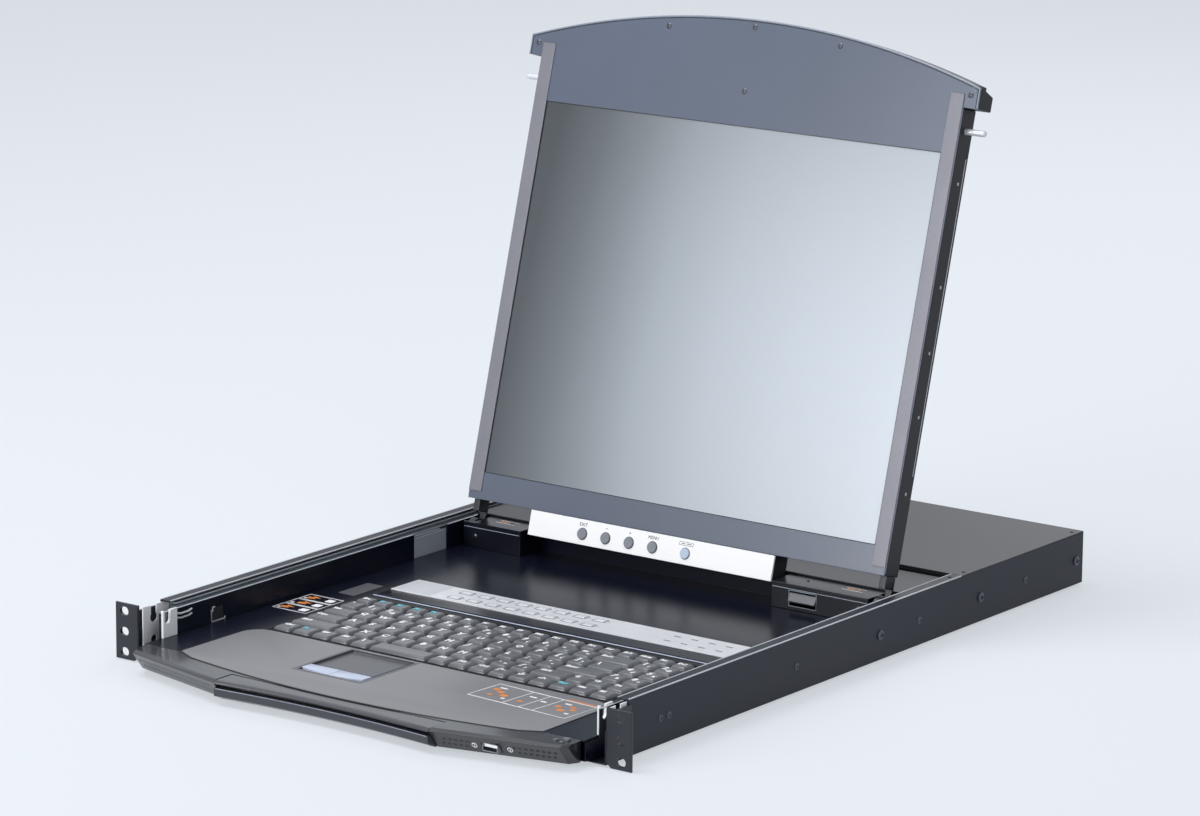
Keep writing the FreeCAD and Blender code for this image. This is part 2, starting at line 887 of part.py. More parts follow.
def handle():
    lip_low = deck_top - 0.4 - handle_lip
    groove_low = lip_low - handle_groove_height
    bar_low = groove_low - handle_bar_height
    under = Part.makeLoft([handle_wire(bezel_slope - 2.0, bezel_bottom),
                           handle_wire(0.0, bar_low)], True, True)
    lip_edge = lip_low + handle_lip * 0.5
    lip_top = Part.makeLoft([handle_wire(0.0, lip_edge),
                             handle_wire(handle_lip, lip_low + handle_lip)], True, True)
    return fused([handle_slab(0.0, lip_low, lip_edge), lip_top,
                  handle_slab(handle_groove, groove_low, lip_low),
                  handle_slab(0.0, bar_low, groove_low), under])


def palm_rest():
    half = palm_width / 2
    back = keyboard_front - palm_back_gap
    left = Vector(-half, palm_end_y, deck_top)
    right = Vector(half, palm_end_y, deck_top)
    arc = Part.Arc(left, Vector(0, palm_middle_y, deck_top), right).toShape()
    corners = [right, Vector(half, back, deck_top), Vector(-half, back, deck_top), left]
    sides = [Part.LineSegment(a, b).toShape() for a, b in zip(corners, corners[1:])]
    plate = Part.Face(Part.Wire([arc] + sides)).extrude(Vector(0, 0, palm_sheet))
    x, y = pad_module_spans()
    return plate.cut(box(x, y, (deck_top - 1, deck_top + 2)))


def touchpad():
    """Pad module: a base with a raised rim round the pad and the buttons."""
    x, y = pad_module_spans()
    base = box(x, y, (deck_top - deck_sheet - 3.0, deck_top + palm_sheet))
    buttons = box((pad_left, pad_left + pad_width), pad_button_span(),
                  (deck_top - deck_sheet - 1.0, deck_top + 2))
    pad = box((pad_left, pad_left + pad_width), (pad_front, pad_front + pad_depth),
              (deck_top - pad_thickness, deck_top + 2))
    return base.cut(Part.makeCompound([buttons, pad]))


def pad_button_span():
    return (pad_front - pad_button_gap - pad_button_depth, pad_front - pad_button_gap)


def pad_button(side):
    middle = pad_left + pad_width / 2
    inner = middle + side * fit_gap / 2
    outer = middle + side * (pad_width / 2 - fit_gap)
    y = pad_button_span()
    x = (min(inner, outer), max(inner, outer))
    low = deck_top - deck_sheet - 1.0 + pad_travel + 0.3
    return box(x, (y[0] + fit_gap, y[1] - fit_gap), (low, deck_top + palm_sheet + 0.5))


def keyboard_base():
    x, y = keyboard_spans()
    low = key_top - key_height - key_travel - 0.5 - sheet
    tub = box(x, y, (low, deck_top + 0.4))
    rows = key_pitch_y * 5 + function_row_depth
    well = box((x[0] + keyboard_rim, x[1] - keyboard_rim),
               (y[0] + keyboard_rim, y[0] + keyboard_rim + rows), (low + sheet, deck_top + 2))
    groove = box((x[0] - 1, x[1] + 1), (y[1] - 3.5, y[1] - 1.5), (deck_top - 0.6, deck_top + 2))
    return tub.cut(Part.makeCompound([well, groove]))


def key_row(left, pitch, widths, y):
    solids = []
    x = left
    for width in widths:
        edge = x + pitch * width
        solids.append(key_cap((x + key_gap / 2, edge - key_gap / 2), y))
        x = edge
    return solids


def key_cap(x, y):
    taper = 0.8
    low = key_top - key_height
    outer = [(x[0], y[0]), (x[1], y[0]), (x[1], y[1]), (x[0], y[1])]
    inner = [(x[0] + taper, y[0] + taper), (x[1] - taper, y[0] + taper),
             (x[1] - taper, y[1] - taper / 2), (x[0] + taper, y[1] - taper / 2)]
    return lofted(outer, low, inner, key_top)


def key_row_span(row, depth):
    front = keyboard_front + keyboard_rim + key_pitch_y * row
    return (front + key_gap / 4, front + depth - key_gap)


def main_rows():
    return [[1] * 5 + [3] + [1] * 7, [2.25] + [1] * 10 + [1.75, 1], [1.75] + [1] * 11 + [2.25],
            [1.5] + [1] * 12 + [1.5], [1] * 13 + [2]]


def key_field():
    left = -keyboard_width / 2 + keyboard_rim
    pitch = (keyboard_width - 2 * keyboard_rim) / key_units
    return left, pitch


def main_keys():
    left, pitch = key_field()
    solids = []
    for row, widths in enumerate(main_rows()):
        solids += key_row(left, pitch, widths, key_row_span(row, key_pitch_y))
    return solids


def cursor_keys():
    left, pitch = key_field()
    solids = []
    for row in range(5):
        widths = [1] * (key_units - main_units)
        solids += key_row(left + pitch * main_units, pitch, widths,
                          key_row_span(row, key_pitch_y))
    return solids


def function_keys():
    left, pitch = key_field()
    narrow = pitch * key_units / function_key_count
    return key_row(left, narrow, [1] * function_key_count,
                   key_row_span(5, function_row_depth))


def port_panel():
    half = strip_width / 2
    plate = box((-half, half), (strip_front, strip_front + strip_depth),
                (deck_top, deck_top + strip_rise))
    return plate.cut(select_wells())


def select_wells():
    """Wells for the selection buttons, through the strip and into the deck."""
    wells = []
    for x, y in select_places():
        half = select_size / 2 + bore_gap
        rise = select_size / 4 + bore_gap
        wells.append(box((x - half, x + half), (y - rise, y + rise),
                         (deck_top - select_travel - 2 * bore_gap, deck_top + 2)))
    return Part.makeCompound(wells)


def select_places():
    return [(select_start + select_pitch * column, strip_front + strip_depth * share)
            for column in range(select_columns) for share in (0.28, 0.72)]


def select_buttons():
    solids = []
    for x, y in select_places():
        half = select_size / 2
        solids.append(box((x - half, x + half), (y - half / 2, y + half / 2),
                          (deck_top - bore_gap, deck_top + strip_rise + 0.7)))
    return solids


def control_board():
    half = strip_width / 2 - 2 * board_edge
    start = strip_front - board_edge
    y = (start, start + control_board_depth)
    low = tray_bottom + sheet + chip_height
    high = low + board_thickness
    shapes = [box((-half, half), y, (low, high))]
    step = 2 * half / (control_chip_count + 0.5)
    for column in range(control_chip_count):
        x = -half + step * (0.55 + column)
        middle = start + control_board_depth / 2
        shapes.append(box((x, x + control_chip_size), (middle, middle + control_chip_size),
                          (high, high + chip_height * 0.6)))
    for x in (-half + board_edge, half - board_edge):
        for edge in (y[0] + board_edge, y[1] - board_edge):
            shapes.append(rod((x, edge, tray_bottom + sheet), (0, 0, 1), chip_height, post_r))
    return fused(shapes)


def lock_catch():
    """Nylon plate on the drawer wall that guides a display pin home."""
    x = (tray_inside - catch_thickness, tray_inside)
    start = pin_closed_y + catch_setback - catch_depth / 2
    y = (start, start + catch_depth)
    plate = box(x, y, (deck_top, wall_top + 1.6))
    return plate.cut(pin_slot((x[0] - 1, x[1] + 1)))


def hinge_block(face_x, shell_x):
    """Cover over a hinge: front wall, beaded top edge, top plate and ends."""
    wall = hinge_cover_wall
    front = block_front_y
    back = block_front_y + block_depth
    shapes = [box(face_x, (front, front + wall), (deck_top, block_top)),
              rod((face_x[0], front + rail_bead_r, block_top - rail_bead_r), (1, 0, 0),
                  face_x[1] - face_x[0], rail_bead_r),
              box(shell_x, (front, back), (block_top - wall, block_top))]
    for end in (shell_x[0], shell_x[1] - wall):
        shapes.append(box((end, end + wall), (front, back), (deck_top, block_top)))
    holes = [((end - wall, hinge_y, hinge_z), (1, 0, 0), shaft_r + fit_gap, 2 * wall)
             for end in shell_x]
    return bored(fused(shapes), holes)


def hinge_block_left():
    return hinge_block((block_left_outer, block_left_inner), (-block_outer, block_left_inner))


def latch_spans(gap=0.0):
    half = latch_width / 2 + gap
    low = deck_top + latch_rise - latch_height / 2 - gap
    return (latch_x - half, latch_x + half), (low, low + latch_height + 2 * gap)


def hinge_block_right():
    across = (block_right_inner, block_outer)
    x, z = latch_spans()
    window = box(x, (block_front_y - 1, block_front_y + hinge_cover_wall), z)
    return hinge_block(across, across).cut(window)


def release_latch():
    """Paddle hung on its top edge in a window of the right hinge cover."""
    x, z = latch_spans(-fit_gap)
    top = z[1] - 1.5
    low = z[0] + 3.0
    y = block_front_y
    outline = [(y + 0.2, top), (y + 3.0, top), (y + 3.4, low + 3.0), (y - 1.8, low),
               (y - 2.4, low + 1.2)]
    return side_solid(outline, x)


def hinge_barrel(side):
    x = span(side, barrel_inner, barrel_outer)
    length = barrel_outer - barrel_inner
    tube = rod((x[0], hinge_y, hinge_z), (1, 0, 0), length, barrel_r)
    foot = box(x, (hinge_y - barrel_r, hinge_y + barrel_r), (deck_top, hinge_z))
    body = fused([tube, foot])
    return body.cut(rod((x[0] - 1, hinge_y, hinge_z), (1, 0, 0), length + 2,
                        shaft_r + shaft_clearance))


def deck_cover():
    inside = tray_inside - deck_gap
    top = deck_top + deck_cover_rise
    front = block_front_y + block_depth + deck_cover_gap
    plate = box((-inside, inside), (front, tray_back - sheet), (top - sheet, top))
    rear = box((-inside, inside), (tray_back - 2 * sheet, tray_back - sheet),
               (deck_top, top))
    return fused([plate, rear])


# display, drawn upright: X across, Y through it from its face, Z up its face -----

def arch_face(y, foot, apex, half, corner):
    """Plate outline with an arched top, as a face at depth y."""
    right = Vector(half, y, corner)
    left = Vector(-half, y, corner)
    arc = Part.Arc(right, Vector(0, y, apex), left).toShape()
    lower = [(-half, corner), (-half, foot), (half, foot), (half, corner)]
    points = [Vector(x, y, z) for x, z in lower]
    lines = [Part.LineSegment(a, b).toShape() for a, b in zip(points, points[1:])]
    return Part.Face(Part.Wire([arc] + lines))


def lcd_frame():
    plate = arch_face(0, arch_foot, arch_apex, arch_half, arch_corner)
    plate = plate.extrude(Vector(0, frame_sheet, 0))
    lower = box((-display_half, display_half), (0, frame_sheet), (0, arch_foot))
    window = box((-glass_half, glass_half), (-1, frame_sheet + 1),
                 (glass_bottom, glass_bottom + glass_height))
    frame = fused([plate, lower]).cut(window)
    return bored(frame, [((x, -1, z), (0, 1, 0), screw_shank_r + shaft_clearance, 4.0)
                         for x, z in frame_screw_places()])


def arch_screw_places():
    end = arch_half - arch_screw_inset
    foot = arch_corner - arch_screw_drop
    crown = arch_apex - crown_screw_drop
    return [(-end, foot), (end, foot), (-crown_screw_x, crown), (crown_screw_x, crown),
            (0, arch_apex - middle_screw_drop)]


def frame_screw_places():
    return arch_screw_places() + [(0, arch_apex - lower_screw_drop)]


def lcd_glass():
    half = glass_half - fit_gap / 2
    return box((-half, half), (fit_gap, fit_gap + glass_thickness),
               (glass_bottom + fit_gap / 2, glass_bottom + glass_height - fit_gap / 2))


def lcd_panel():
    half = glass_half + panel_margin
    front = fit_gap + glass_thickness
    tray = box((-half, half), (front, front + panel_thickness),
               (glass_bottom - panel_margin, glass_bottom + glass_height + panel_margin))
    pocket = box((-half + 4.0, half - 4.0), (front + 2.5, front + panel_thickness + 1),
                 (glass_bottom, glass_bottom + glass_height))
    return tray.cut(pocket)


def back_outline(inset):
    half = display_half - inset
    return (-half, half), (inset, arch_foot - inset)


def lcd_back_cover():
    x, z = back_outline(0.0)
    shell = box(x, (frame_sheet, display_thickness), z)
    x, z = back_outline(back_sheet)
    shell = shell.cut(box(x, (frame_sheet - 1, display_thickness - back_sheet), z))
    cutters = []
    for side in (-1, 1):
        arm = span(side, arm_inside() - fit_gap, arm_inside() + arm_width + fit_gap)
        cutters.append(box(arm, (arm_front() - fit_gap, arm_back() + fit_gap), (-1, 2)))
        seam = span(side, display_half - 0.5, display_half + 1)
        seam_y = display_thickness - seam_back
        cutters.append(box(seam, (seam_y, seam_y + seam_width), (seam_low, seam_high)))
        cutters.append(rod((side * (display_half - 5), hinge_inset, pin_rise), (side, 0, 0),
                           10, pin_r + bore_gap))
    return shell.cut(Part.makeCompound(cutters))


def side_strips():
    bar = box((display_half - strip_bar_width, display_half), (-strip_bar_proud, 0),
              (strip_bar_bottom, display_height))
    return both_sides(bar)


def arch_handle():
    """Moulded grip behind the arched top of the frame."""
    half = arch_half
    outer = arch_face(frame_sheet, arch_foot, arch_apex, half, arch_corner)
    block = outer.extrude(Vector(0, display_thickness - frame_sheet, 0))
    inner_half = half - arch_band
    drop = arch_band
    inner = arch_face(display_thickness - arch_recess, arch_foot - 1, arch_apex - drop, inner_half,
                      arch_corner - drop * 0.55)
    block = block.cut(inner.extrude(Vector(0, display_thickness, 0)))
    lean = [(frame_sheet + 3.0, arch_corner), (display_thickness + 1, arch_corner - arch_end_slope),
            (display_thickness + 1, arch_corner + 2), (frame_sheet + 3.0, arch_corner + 2)]
    for side in (-1, 1):
        tip = span(side, half - 7.0, half + 1)
        block = block.cut(side_solid(lean, tip))
    holes = [((x, frame_sheet - 1, z), (0, 1, 0), screw_shank_r + shaft_clearance,
              screw_shank_length + 1) for x, z in arch_screw_places()]
    return bored(block, holes)


def chin_spans(top_gap=0.0):
    return (chin_left, chin_right), (-chin_height, -chin_gap - top_gap)


def osd_button_places():
    return [osd_button_first + osd_button_pitch * index for index in range(osd_button_count)]


def chin_holes(y_start, depth):
    holes = []
    for x in osd_button_places():
        holes.append(((x, y_start, -osd_button_rise), (0, 1, 0), osd_button_r + bore_gap, depth))
    holes.append(((power_button_x, y_start, -osd_button_rise), (0, 1, 0),
                  power_button_r + bore_gap, depth))
    return holes


def osd_bar():
    x, z = chin_spans()
    return bored(box(x, (0, fascia_thickness), z), chin_holes(-1, fascia_thickness + 2))


def osd_housing():
    x, z = chin_spans()
    body = box(x, (fascia_thickness, display_thickness - 0.4), z)
    neck = box((x[0] + 20.0, x[1] - 20.0), (5.0, display_thickness - 5.0), (z[1], 0))
    body = fused([body, neck])
    return bored(body, chin_holes(fascia_thickness - 1, osd_button_depth() + osd_travel + 1.3))


def osd_button_depth():
    return 3.0


def round_button(x, radius):
    start = (x, -osd_button_proud, -osd_button_rise)
    length = osd_button_proud + fascia_thickness + osd_button_depth() - 0.4
    cap = rod(start, (0, 1, 0), length, radius)
    rim = [edge for edge in cap.Edges if edge.Closed and edge.CenterOfMass.y < 0]
    return cap.makeFillet(0.4, rim)


def lock_pin(side):
    start = (side * (pin_reach - pin_length), hinge_inset, pin_rise)
    pin = rod(start, (side, 0, 0), pin_length, pin_r)
    tip = [edge for edge in pin.Edges if edge.Closed and abs(edge.CenterOfMass.x) > pin_reach - 1]
    pin = pin.makeChamfer(0.8, tip)
    return pin


def arm_inside():
    return block_outer + 2.0


def arm_front():
    return 7.0


def arm_back():
    return display_thickness - back_sheet - fit_gap / 2


def hinge_arm(side):
    """Steel arm with a hub on the hinge axis and a shaft into the barrel."""
    x = span(side, arm_inside(), arm_inside() + arm_width)
    plate_front = block_top - face_closed + fit_gap + 0.1
    root = -hinge_drop + arm_step
    neck = -hinge_drop + arm_neck
    back = display_thickness
    bottom = -hinge_drop - hub_r
    outline = [(arm_front(), arm_root_above), (arm_front(), root), (plate_front, root),
               (plate_front, neck), (hinge_inset, neck), (hinge_inset, bottom),
               (back, bottom), (back, -fit_gap), (arm_back(), -fit_gap),
               (arm_back(), arm_root_above)]
    plate = side_solid(outline, x)
    hub = rod((x[0], hinge_inset, -hinge_drop), (1, 0, 0), arm_width, hub_r)
    shaft_x = span(side, barrel_outer - shaft_overlap, arm_inside() + 1.0)
    shaft = rod((shaft_x[0], hinge_inset, -hinge_drop), (1, 0, 0), shaft_x[1] - shaft_x[0],
                shaft_r)
    return fused([plate, hub, shaft])


def lcd_screws():
    return [screw((x, 0, z), (0, -1, 0), screw_head_r, screw_head_height / 2)
            for x, z in frame_screw_places()]


def make_fixed_body():
    save("chassis_pan", chassis_pan())
    save("rear_cover", rear_cover())
    save("rear_panel", rear_panel())
    ear = rack_ear()
    save("rack_ear_right", ear)
    save("rack_ear_left", mirrored(ear))
    save("slide_brackets", *both_sides(slide_bracket()))
    save("power_supply", power_supply())
    save("main_board", main_board())
    save("port_connectors", *port_connectors())
    save("power_inlet", power_inlet())
    save("power_switch", power_switch())
    save("chassis_screws", *chassis_screws())


def make_slides():
    for name, shape in (("outer_rail", outer_rail()), ("middle_rail", middle_rail()),
                        ("inner_rail", inner_rail())):
        save(name + "_right", shape)
        save(name + "_left", mirrored(shape))
    cage = ball_cage()
    save("ball_cages", *(cage + [mirrored(strip) for strip in cage]))


def make_drawer():
    save("tray_pan", tray_pan())
    save("tray_deck", tray_deck())
    save("front_bezel", front_bezel())
    save("handle", handle())
    save("usb_port", usb_port())
    save("palm_rest", palm_rest())
    save("touchpad", touchpad())
    save("pad_button_left", pad_button(-1))
    save("pad_button_right", pad_button(1))
    save("keyboard_base", keyboard_base())
    save("main_keys", *main_keys())
    save("cursor_keys", *cursor_keys())
    save("function_keys", *function_keys())
    save("port_panel", port_panel())
    save("select_buttons", *select_buttons())
    save("control_board", control_board())
    save("lock_catches", *both_sides(lock_catch()))
    save("hinge_block_left", hinge_block_left())
    save("hinge_block_right", hinge_block_right())
    save("release_latch", release_latch())
    save("hinge_barrels", hinge_barrel(-1), hinge_barrel(1))
    save("deck_cover", deck_cover())


def make_display():
    save("lcd_frame", on_display(lcd_frame()))
    save("lcd_glass", on_display(lcd_glass()))
    save("lcd_panel", on_display(lcd_panel()))
    save("lcd_back_cover", on_display(lcd_back_cover()))
    save("side_strips", *[on_display(bar) for bar in side_strips()])
    save("arch_handle", on_display(arch_handle()))
    save("osd_bar", on_display(osd_bar()))
    save("osd_housing", on_display(osd_housing()))
    for index, x in enumerate(osd_button_places()):
        save("osd_button_" + str(index + 1), on_display(round_button(x, osd_button_r)))
    save("power_button", on_display(round_button(power_button_x, power_button_r)))
    for name, side in (("left", -1), ("right", 1)):
        save("lock_pin_" + name, on_display(lock_pin(side)))
        save("hinge_arm_" + name, on_display(hinge_arm(side)))
    save("lcd_screws", *[on_display(one) for one in lcd_screws()])


os.makedirs("parts", exist_ok=True)
make_fixed_body()
make_slides()
make_drawer()
make_display()
print("closed pin at", round(pin_closed_y, 2), round(pin_closed_z, 2))
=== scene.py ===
import bpy
import bmesh
import json
from math import radians, sin, cos, pi, atan2, sqrt
from mathutils import Vector, Matrix
from mathutils.bvhtree import BVHTree


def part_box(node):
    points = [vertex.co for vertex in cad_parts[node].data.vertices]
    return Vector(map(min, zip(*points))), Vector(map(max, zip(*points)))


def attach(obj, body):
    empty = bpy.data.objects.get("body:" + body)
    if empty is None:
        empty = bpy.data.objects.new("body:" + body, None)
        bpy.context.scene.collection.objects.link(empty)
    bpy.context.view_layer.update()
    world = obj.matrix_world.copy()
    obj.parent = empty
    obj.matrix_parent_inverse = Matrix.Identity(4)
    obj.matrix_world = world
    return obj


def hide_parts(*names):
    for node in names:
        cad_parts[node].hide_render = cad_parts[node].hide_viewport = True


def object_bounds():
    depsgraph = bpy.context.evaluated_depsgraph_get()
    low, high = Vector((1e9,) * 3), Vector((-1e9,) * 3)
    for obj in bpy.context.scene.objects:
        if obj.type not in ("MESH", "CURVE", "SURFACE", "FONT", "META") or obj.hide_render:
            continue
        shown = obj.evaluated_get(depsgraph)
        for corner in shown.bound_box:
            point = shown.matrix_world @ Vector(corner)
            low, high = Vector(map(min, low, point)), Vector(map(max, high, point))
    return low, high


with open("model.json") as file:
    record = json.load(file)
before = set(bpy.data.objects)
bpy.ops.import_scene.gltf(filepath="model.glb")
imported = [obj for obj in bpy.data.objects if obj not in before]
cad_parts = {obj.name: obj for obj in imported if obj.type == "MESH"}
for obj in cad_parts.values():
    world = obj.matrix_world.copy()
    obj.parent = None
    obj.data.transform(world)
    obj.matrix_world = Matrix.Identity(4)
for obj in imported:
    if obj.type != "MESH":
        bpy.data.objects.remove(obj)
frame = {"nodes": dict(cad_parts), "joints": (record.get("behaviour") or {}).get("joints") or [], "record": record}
cadLow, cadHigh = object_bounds()
nodes = frame["nodes"]
mm = 0.001

print("frame loaded:", len(nodes), "nodes")

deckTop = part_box("palm_rest")[0].z
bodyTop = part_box("rear_cover")[1].z
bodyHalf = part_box("chassis_pan")[1].x
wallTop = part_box("tray_pan")[1].z
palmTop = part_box("palm_rest")[1].z
hingeJoint = [j for j in frame["joints"] if j["name"] == "display_hinge"][0]
hinge = Vector(hingeJoint["pos_m"])

displayPose = {"lean": radians(15.31), "drop": 23.0 * mm, "inset": 10.2 * mm}
along = Vector((0, sin(displayPose["lean"]), cos(displayPose["lean"])))
through = Vector((0, cos(displayPose["lean"]), -sin(displayPose["lean"])))
displayFoot = hinge + along * displayPose["drop"] - through * displayPose["inset"]
onDisplay = Matrix.Translation(displayFoot) @ Matrix.Rotation(-displayPose["lean"], 4, "X")


def displayPoint(across, up, behind=0.0):
    return onDisplay @ Vector((across * mm, behind * mm, up * mm))


def srgb(red, green, blue):
    def linear(value):
        value = value / 255.0
        return value / 12.92 if value <= 0.04045 else ((value + 0.055) / 1.055) ** 2.4
    return (linear(red), linear(green), linear(blue), 1.0)


def socketKind(value):
    if value is None:
        return "NodeSocketMaterial"
    if isinstance(value, tuple):
        return "NodeSocketColor" if len(value) == 4 else "NodeSocketVector"
    return "NodeSocketInt" if isinstance(value, int) else "NodeSocketFloat"


def addInputs(tree, inputs):
    for label, value in inputs.items():
        socket = tree.interface.new_socket(name=label, in_out="INPUT", socket_type=socketKind(value))
        if value is not None:
            socket.default_value = value


def newGroup(name, inputs):
    # every surface group gives a colour, a roughness and a height
    group = bpy.data.node_groups.new(name, "ShaderNodeTree")
    addInputs(group, inputs)
    for label, kind in (("Color", "Color"), ("Roughness", "Float"), ("Height", "Float")):
        group.interface.new_socket(name=label, in_out="OUTPUT", socket_type="NodeSocket" + kind)
    start = group.nodes.new("NodeGroupInput")
    end = group.nodes.new("NodeGroupOutput")
    return group, start.outputs, end.inputs


def feed(tree, socket, value):
    # a plain value is set on the socket, another node's output is linked to it
    if isinstance(value, (float, int, tuple)):
        socket.default_value = value
    else:
        tree.links.new(value, socket)


def mixColor(tree, factor, first, second, blend="MIX"):
    node = tree.nodes.new("ShaderNodeMix")
    node.data_type = "RGBA"
    node.blend_type = blend
    for index, value in ((0, factor), (6, first), (7, second)):
        feed(tree, node.inputs[index], value)
    return node.outputs[2]


def mathNode(tree, operation, first, second=0.0):
    node = tree.nodes.new("ShaderNodeMath")
    node.operation = operation
    feed(tree, node.inputs[0], first)
    feed(tree, node.inputs[1], second)
    return node.outputs[0]


def rangeNode(tree, value, low, high):
    node = tree.nodes.new("ShaderNodeMapRange")
    for name, setting in (("Value", value), ("To Min", low), ("To Max", high)):
        feed(tree, node.inputs[name], setting)
    return node.outputs["Result"]


def noiseNode(tree, vector, scale, detail=3.0):
    node = tree.nodes.new("ShaderNodeTexNoise")
    for name, setting in (("Vector", vector), ("Scale", scale), ("Detail", detail)):
        feed(tree, node.inputs[name], setting)
    return node.outputs["Fac"]


def objectPlace(tree):
    return tree.nodes.new("ShaderNodeTexCoord").outputs["Object"]


def buildCoatGroup():
    # paint and moulded plastic: soft tone drift, fine grain, slightly uneven gloss
    group, given, made = newGroup("coatedSurface", {
        "Tone": (0.5, 0.5, 0.5, 1), "Drift Tone": (0.5, 0.5, 0.5, 1),
        "Drift Scale": 6.0, "Grain Scale": 2500.0, "Gloss Low": 0.3, "Gloss High": 0.4})
    coordinates = objectPlace(group)
    drift = noiseNode(group, coordinates, given["Drift Scale"], 4.0)
    grain = noiseNode(group, coordinates, given["Grain Scale"], 2.0)
    color = mixColor(group, rangeNode(group, drift, -0.35, 1.35), given["Tone"], given["Drift Tone"])
    speck = rangeNode(group, grain, 0.93, 1.07)
    speckColor = group.nodes.new("ShaderNodeCombineColor")
    for channel in range(3):
        group.links.new(speck, speckColor.inputs[channel])
    color = mixColor(group, 1.0, color, speckColor.outputs[0], "MULTIPLY")
    gloss = rangeNode(group, drift, given["Gloss Low"], given["Gloss High"])
    for name, value in (("Color", color), ("Roughness", gloss), ("Height", grain)):
        group.links.new(value, made[name])
    return group


def buildBrushedGroup():
    # rolled, brushed or plated metal: streaks along one direction
    group, given, made = newGroup("brushedSurface", {
        "Tone": (0.6, 0.6, 0.6, 1), "Streak Tone": (0.5, 0.5, 0.5, 1),
        "Stretch": (20.0, 1500.0, 1500.0), "Gloss Low": 0.25, "Gloss High": 0.4})
    coordinates = objectPlace(group)
    stretched = group.nodes.new("ShaderNodeVectorMath")
    stretched.operation = "MULTIPLY"
    group.links.new(coordinates, stretched.inputs[0])
    group.links.new(given["Stretch"], stretched.inputs[1])
    streak = noiseNode(group, stretched.outputs[0], 1.0, 4.0)
    cloud = noiseNode(group, coordinates, 25.0, 3.0)
    blended = mathNode(group, "MULTIPLY", mathNode(group, "ADD", streak, cloud), 0.5)
    color = mixColor(group, rangeNode(group, blended, -0.3, 1.3), given["Tone"], given["Streak Tone"])
    gloss = rangeNode(group, streak, given["Gloss Low"], given["Gloss High"])
    for name, value in (("Color", color), ("Roughness", gloss), ("Height", streak)):
        group.links.new(value, made[name])
    return group


coatGroup = buildCoatGroup()
brushedGroup = buildBrushedGroup()


def placeGroup(tree, group, values):
    node = tree.nodes.new("ShaderNodeGroup")
    node.node_tree = group
    for name, value in values.items():
        node.inputs[name].default_value = value
    return node


def newMaterial(name):
    material = bpy.data.materials.new(name)
    material.use_nodes = True
    return material, material.node_tree, material.node_tree.nodes["Principled BSDF"].inputs


def addRelief(tree, shader, height, strength, distance):
    relief = tree.nodes.new("ShaderNodeBump")
    for name, value in (("Strength", strength), ("Distance", distance), ("Height", height)):
        feed(tree, relief.inputs[name], value)
    tree.links.new(relief.outputs["Normal"], shader["Normal"])


def finish(name, kind, tone, otherTone, gloss, metallic=0.0, bump=0.02, specular=0.5, coat=0.0,
           grainScale=2500.0, stretch=(20.0, 1500.0, 1500.0)):
    material, tree, shader = newMaterial(name)
    values = {"Tone": srgb(*tone), "Gloss Low": gloss[0], "Gloss High": gloss[1]}
    if kind == "coat":
        values.update({"Drift Tone": srgb(*otherTone), "Grain Scale": grainScale})
        surface = placeGroup(tree, coatGroup, values)
    else:
        values.update({"Streak Tone": srgb(*otherTone), "Stretch": stretch})
        surface = placeGroup(tree, brushedGroup, values)
    tree.links.new(surface.outputs["Color"], shader["Base Color"])
    tree.links.new(surface.outputs["Roughness"], shader["Roughness"])
    addRelief(tree, shader, surface.outputs["Height"], bump, 0.0002)
    shader["Metallic"].default_value = metallic
    shader["Specular IOR Level"].default_value = specular
    shader["Coat Weight"].default_value = coat
    shader["Coat Roughness"].default_value = 0.12
    return material


